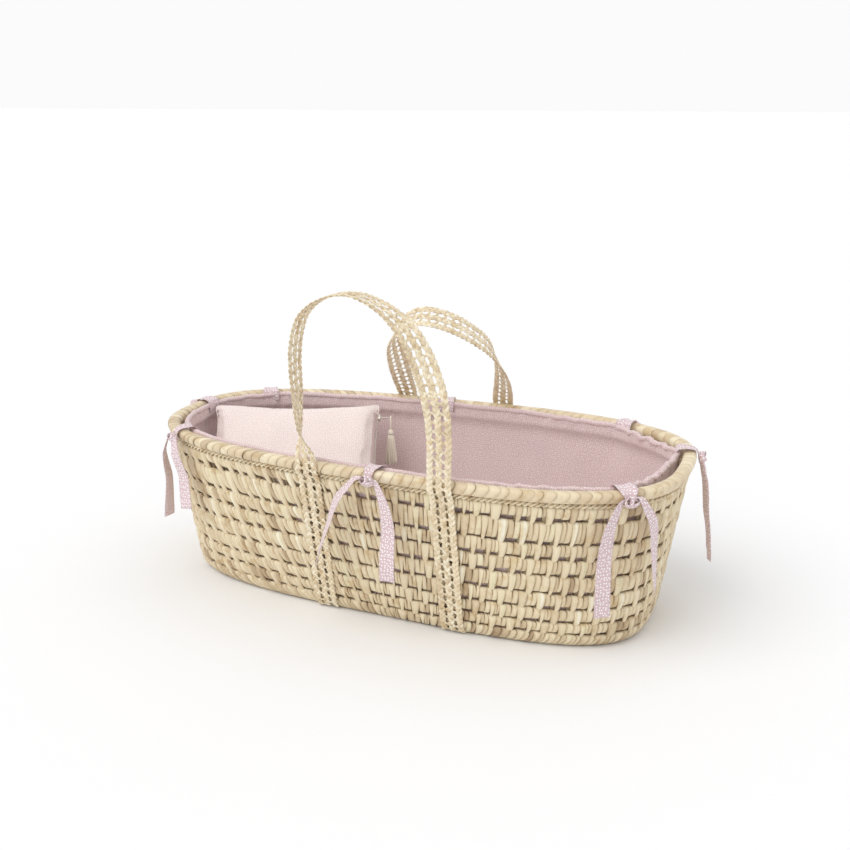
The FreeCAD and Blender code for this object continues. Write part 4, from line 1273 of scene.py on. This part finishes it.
loop_low, loop_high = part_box("tassel_loop")
head_low, head_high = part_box("tassel_head")
skirt_low, skirt_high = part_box("tassel_skirt")
hang = np.array([pin[0], pin[1], 0.0])
loop_turn = np.linspace(0, 2 * np.pi, 61)[:-1]
LOOP_CORD = 1.2 * MM
loop_mid = (loop_low.z + loop_high.z) / 2
loop_rise = (loop_high.z - loop_low.z) / 2 - LOOP_CORD
loop_line = hang + np.array([0, 0, loop_mid]) + (np.sin(loop_turn)[:, None] * UP * loop_rise
                                                 + np.cos(loop_turn)[:, None] * pin_side * 3.4 * MM)
loop_dir = np.gradient(loop_line, axis=0)
loop_dir[0] = loop_dir[-1] = loop_line[1] - loop_line[-1]
loop_dir /= np.linalg.norm(loop_dir, axis=1, keepdims=True)
loop_side = np.cross(loop_dir, pin_axis)
loop_grid = loop_line[:, None] + LOOP_CORD * (np.cos(ring) * loop_side[:, None] + np.sin(ring) * pin_axis)
loop_uv = np.stack(np.broadcast_arrays(ring[..., 0] * MM, loop_turn[:, None] * 8 * MM), -1)
loop = merged(patches("tassel_loop_cord", loop_grid[None], close_rows=True, close_columns=True,
                      uv=loop_uv[None]))

head_rise = np.linspace(0, 1, 40)[:, None]
head_turn = np.linspace(0, 2 * np.pi, 24, endpoint=False)[None]
HEAD_WINDS = 7
head_radius = 4.6 * MM * np.sin(np.pi * np.clip(head_rise, 0, 1)) ** 0.42
head_radius = head_radius + 0.25 * MM * np.cos(head_rise * 2 * np.pi * HEAD_WINDS)
head_radius = np.where((head_rise < 0.01) | (head_rise > 0.99), 0.0, head_radius)
head_z = head_low.z - 1 * MM + (head_high.z - head_low.z + 1 * MM) * head_rise
head_grid = np.stack(np.broadcast_arrays(hang[0] + head_radius * np.cos(head_turn),
                                         hang[1] + head_radius * np.sin(head_turn), head_z), -1)
head_uv = np.stack(np.broadcast_arrays(head_turn * 4 * MM, head_z), -1)
head = merged(patches("tassel_head_wound", head_grid[None], close_columns=True, uv=head_uv[None]))

YARNS, YARN_RADIUS = 64, 1.05 * MM
yarn_rng = np.random.default_rng(81)
yarn_share = np.sqrt((np.arange(YARNS) + 0.5) / YARNS)
yarn_turn = np.arange(YARNS) * math.pi * (3 - math.sqrt(5))
fall = np.linspace(0, 1, 9)
yarn_long = yarn_rng.uniform(0.95, 1.0, YARNS)[:, None]
skirt_z = skirt_high.z + (skirt_low.z - skirt_high.z) * fall[None] * yarn_long
spread = yarn_share[:, None] * (4.0 + 5.8 * fall[None] ** 0.7) * MM
swirl = yarn_turn[:, None] + 0.25 * fall[None] * yarn_rng.uniform(-1, 1, YARNS)[:, None]
yarn_line = np.stack([hang[0] + spread * np.cos(swirl), hang[1] + spread * np.sin(swirl), skirt_z], -1)
YARN_SIDES = 6
yarn_grid = strand_patches(yarn_line, np.array([[[1.0, 0, 0]]]), np.array([[[0, 1.0, 0]]]),
                           YARN_RADIUS, YARN_RADIUS, steps=YARN_SIDES)
yarn_round = np.arange(YARN_SIDES).reshape(1, 1, -1) * 0.9 * MM
yarn_uv = np.stack(np.broadcast_arrays(yarn_round, skirt_z[..., None]), -1)
skirt = patches("tassel_skirt_yarns", yarn_grid, close_columns=True, uv=yarn_uv)
close_ends(skirt, YARNS, fall.size, YARN_SIDES)
merged(skirt)
for piece, name in ((loop, "tassel_loop"), (head, "tassel_head"), (skirt, "tassel_skirt")):
    piece.data.materials.append(yarn)
    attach(piece, "tassel")
    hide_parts(name)

# %% [markdown]
# ## The ties
# Each tie is one cotton ribbon: gathered over the rim from the hem inside, knotted outside, its
# two tails hanging. A ribbon is a thin closed band carried along its own line, with a direction
# across it that may turn on the way, so a tail can show its edge or its face.

# %% Ribbons
RIBBON_THICK = 1.1 * MM


def ribbon(points, sides, widths, gutter):
    """A closed thin band: 9 points across on each side of a Catmull-Rom line, bowed by gutter
    times the width, with its ends shut."""
    even, route, along, across, through = smooth_route(points, sides, step=3.2 * MM)
    keys = np.concatenate([[0], np.cumsum(np.linalg.norm(np.diff(points, axis=0), axis=1))])
    width = np.interp(even / even[-1], keys / keys[-1], widths)
    t = np.linspace(-1, 1, 9)
    shape_across = np.concatenate([t, t[::-1]])
    bow = gutter * (shape_across ** 2 - 0.4)
    skin = np.concatenate([np.full(9, 0.5), np.full(9, -0.5)]) * RIBBON_THICK
    skin = skin * np.sqrt(np.maximum(1 - shape_across ** 8, 0.15))
    grid = (route[:, None] + (shape_across[None] * width[:, None] / 2)[..., None] * across[:, None]
            + (bow[None] * width[:, None] / 2 + skin[None])[..., None] * through[:, None])
    uv = np.stack(np.broadcast_arrays(shape_across[None] * width[:, None] / 2, even[:, None]), -1)
    return grid, uv, even[-1]


def joined(name, grids, uvs):
    """Bands of different lengths as one closed mesh: each grid's quads and its two end caps."""
    points, faces, metres, start = [], [], [], 0
    for grid, uv in zip(grids, uvs):
        rows, columns = grid.shape[:2]
        faces.append(grid_faces(rows, columns, close_columns=True) + start)
        half = columns // 2
        ends = np.arange(half - 1)
        first = np.stack([ends, ends + 1, columns - 2 - ends, columns - 1 - ends], -1)
        faces += [first[:, ::-1] + start, first + (rows - 1) * columns + start]
        points.append(grid.reshape(-1, 3))
        metres.append(np.broadcast_to(uv, grid.shape[:2] + (2,)).reshape(-1, 2))
        start += rows * columns
    piece = make_mesh(name, np.vstack(points), np.vstack(faces), None, np.vstack(metres))
    return merged(piece)


# each tie's two tails: length, sideways reach from the knot (mm), splay, and the ribbon's own turn
# at the knot and at the end (degrees)
TAILS = {"front_left": ((146, -32, -5, 30, 66), (112, 12, 6, -12, -22)),
         "front_middle": ((146, -42, -16, 38, 66), (148, 31, -2, 24, -6)),
         "front_right": ((165, -36, 3, -24, 6), (136, 30, 5, -24, -58)),
         "wide_end": ((150, -8, -6, -25, -10), (150, 14, 6, 20, 8)),
         "rear_right": ((150, -12, -6, 10, 20), (146, 12, 6, -10, -25)),
         "rear_middle": ((150, -12, -6, 10, 30), (140, 12, 6, -10, -20)),
         "rear_left": ((150, -12, -6, 15, 30), (146, 12, 6, -15, -20)),
         "narrow_end": ((130, -14, -8, 15, 40), (124, 10, 5, -20, -30))}

# the ties whose band lies wide over the rim, and how far out each tie's tails stand at their ends
FLAPS = ("front_right",)
outwards = dict.fromkeys(TAILS, -4.0)
outwards["wide_end"] = 22.0
FLAP_WIDTHS, BAND_WIDTHS = [27, 28, 27, 27, 28, 27, 18, 9], [27, 28, 27, 23, 19, 15, 12, 10]
# a tie's own runs in mm, as along, out and up from the rim: over the rim, round the knot, across it
OVER_RIM = [(0, -20, -17), (0, -21, -9), (0, -18.5, 1.2), (0, -8, 3.4), (0, 0, 2.6), (0, 8, 0.6),
            (0, 11.8, -5), (0, 12.6, -11)]
ROUND_KNOT = [(-3, 14.5, -6), (6, 17.5, -5), (10, 18, -11), (4, 19, -17), (-6, 18.5, -16),
              (-9, 17, -10), (-3, 14.5, -6)]
ACROSS_KNOT = [(-4, 15, -14), (-2, 20.5, -9), (3, 20.5, -8), (6, 15.5, -13)]
TAIL_SHARES = np.array([0, 0.05, 0.12, 0.22, 0.36, 0.52, 0.68, 0.84, 1.0])
TAIL_WIDTHS = np.array([8, 11, 16, 20, 22.5, 23, 23, 23, 23]) * MM


def tie(name, turn, tails, seed):
    """One ribbon over the rim at a turn of the outline, in directions along, out and up."""
    rng = np.random.default_rng(seed)
    out = outward(turn, HEIGHT)
    along = np.cross(UP, out)
    foot = outline(turn, HEIGHT, WALL / 2)

    def place(a, o, z):
        return foot + a * MM * along + o * MM * out + z * MM * UP

    band = np.array([place(*point) for point in OVER_RIM])
    band_widths = FLAP_WIDTHS if name in FLAPS else BAND_WIDTHS
    grids = [ribbon(band, np.tile(along, (len(band), 1)), np.array(band_widths) * MM, gutter=0.18)]
    wrap = np.array([place(a + rng.uniform(-1, 1), o, z) for a, o, z in ROUND_KNOT])
    wrap_side = np.array([out * 0.55 + UP * 0.45 - along * 0.2] * len(wrap))
    grids.append(ribbon(wrap, wrap_side, np.array([9, 11, 12, 12, 11, 10, 9]) * MM, gutter=0.35))
    cross = np.array([place(*point) for point in ACROSS_KNOT])
    cross_side = np.array([UP * 0.9 + along * 0.4] * len(cross))
    grids.append(ribbon(cross, cross_side, np.array([10, 13, 13, 9]) * MM, gutter=0.3))
    for order, (long, reach, splay, first, last) in enumerate(tails):
        lean, shares = math.radians(splay), TAIL_SHARES
        swing = 1 - np.exp(-shares / 0.13)
        a = (np.sign(reach) * 3 + reach * swing + long * math.sin(lean) * shares
             + 1.5 * np.sin(5 * shares + order))
        z = -10.5 - long * math.cos(lean) * shares + 7 * np.exp(-((shares - 0.05) / 0.05) ** 2)
        o = (14.0 + order * 1.5 + 5 * np.sin(np.pi * np.clip(shares * 2.2, 0, 1)) + outwards[name] * shares
             + 1.6 * np.sin(shares * 6 + seed))
        line = np.array([place(*point) for point in zip(a, o, z)])
        turned = np.radians(first + (last - first) * shares)[:, None]
        sides = along * np.cos(turned) + out * np.sin(turned)
        grids.append(ribbon(line, sides, TAIL_WIDTHS, gutter=0.1))
    piece = joined("tie_ribbon_" + name, [grid[0] for grid in grids], [grid[1] for grid in grids])
    piece.data.materials.append(tie_cotton)
    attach(piece, "basket")
    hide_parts("tie_" + name)


for number, (name, tails) in enumerate(TAILS.items()):
    tie(name, tie_turns[name], tails, number + 1)

# %% [markdown]
# ## What stays from the model
# The stalk bundles inside the rows and rim and the mattress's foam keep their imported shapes,
# because they are hidden and right as they are. They still get real finishes.

# %% Inner materials


def grain(name, dark, light, scale, stretch=(1, 1, 1)):
    """Two colours mixed by noise on Object coordinates, stretched where the stuff has a grain."""
    material, tree, main = shader(name)
    place = node(tree, "ShaderNodeTexCoord").outputs["Object"]
    placed = node(tree, "ShaderNodeMapping", {"Vector": place, "Scale": stretch}).outputs["Vector"]
    noise = node(tree, "ShaderNodeTexNoise", {"Vector": placed, "Scale": scale, "Detail": 5.0})
    tree.links.new(ramp(tree, noise.outputs["Fac"], [(0.3, dark), (0.7, light)]), main.inputs["Base Color"])
    bump(tree, main, noise.outputs["Fac"], 0.5, 0.0005)
    main.inputs["Roughness"].default_value = 0.8
    return material


stalk = grain("palm_stalk_bundle", (0.42, 0.30, 0.16), (0.68, 0.54, 0.32), 90.0, (1, 1, 9))
foam = grain("mattress_foam", (0.86, 0.80, 0.62), (0.93, 0.88, 0.72), 700.0)
fluff = grain("cushion_wadding", (0.86, 0.86, 0.85), (0.97, 0.97, 0.96), 260.0)
wadding.data.materials.clear()
wadding.data.materials.append(fluff)
finishes = {"mattress_core": foam, "rim_core": stalk}
finishes.update({"row_core_%d" % number: stalk for number in range(1, ROWS + 1)})
for name, material in finishes.items():
    core = frame["nodes"][name]
    core.data.materials.clear()
    core.data.materials.append(material)
print("inner pieces", len(finishes))
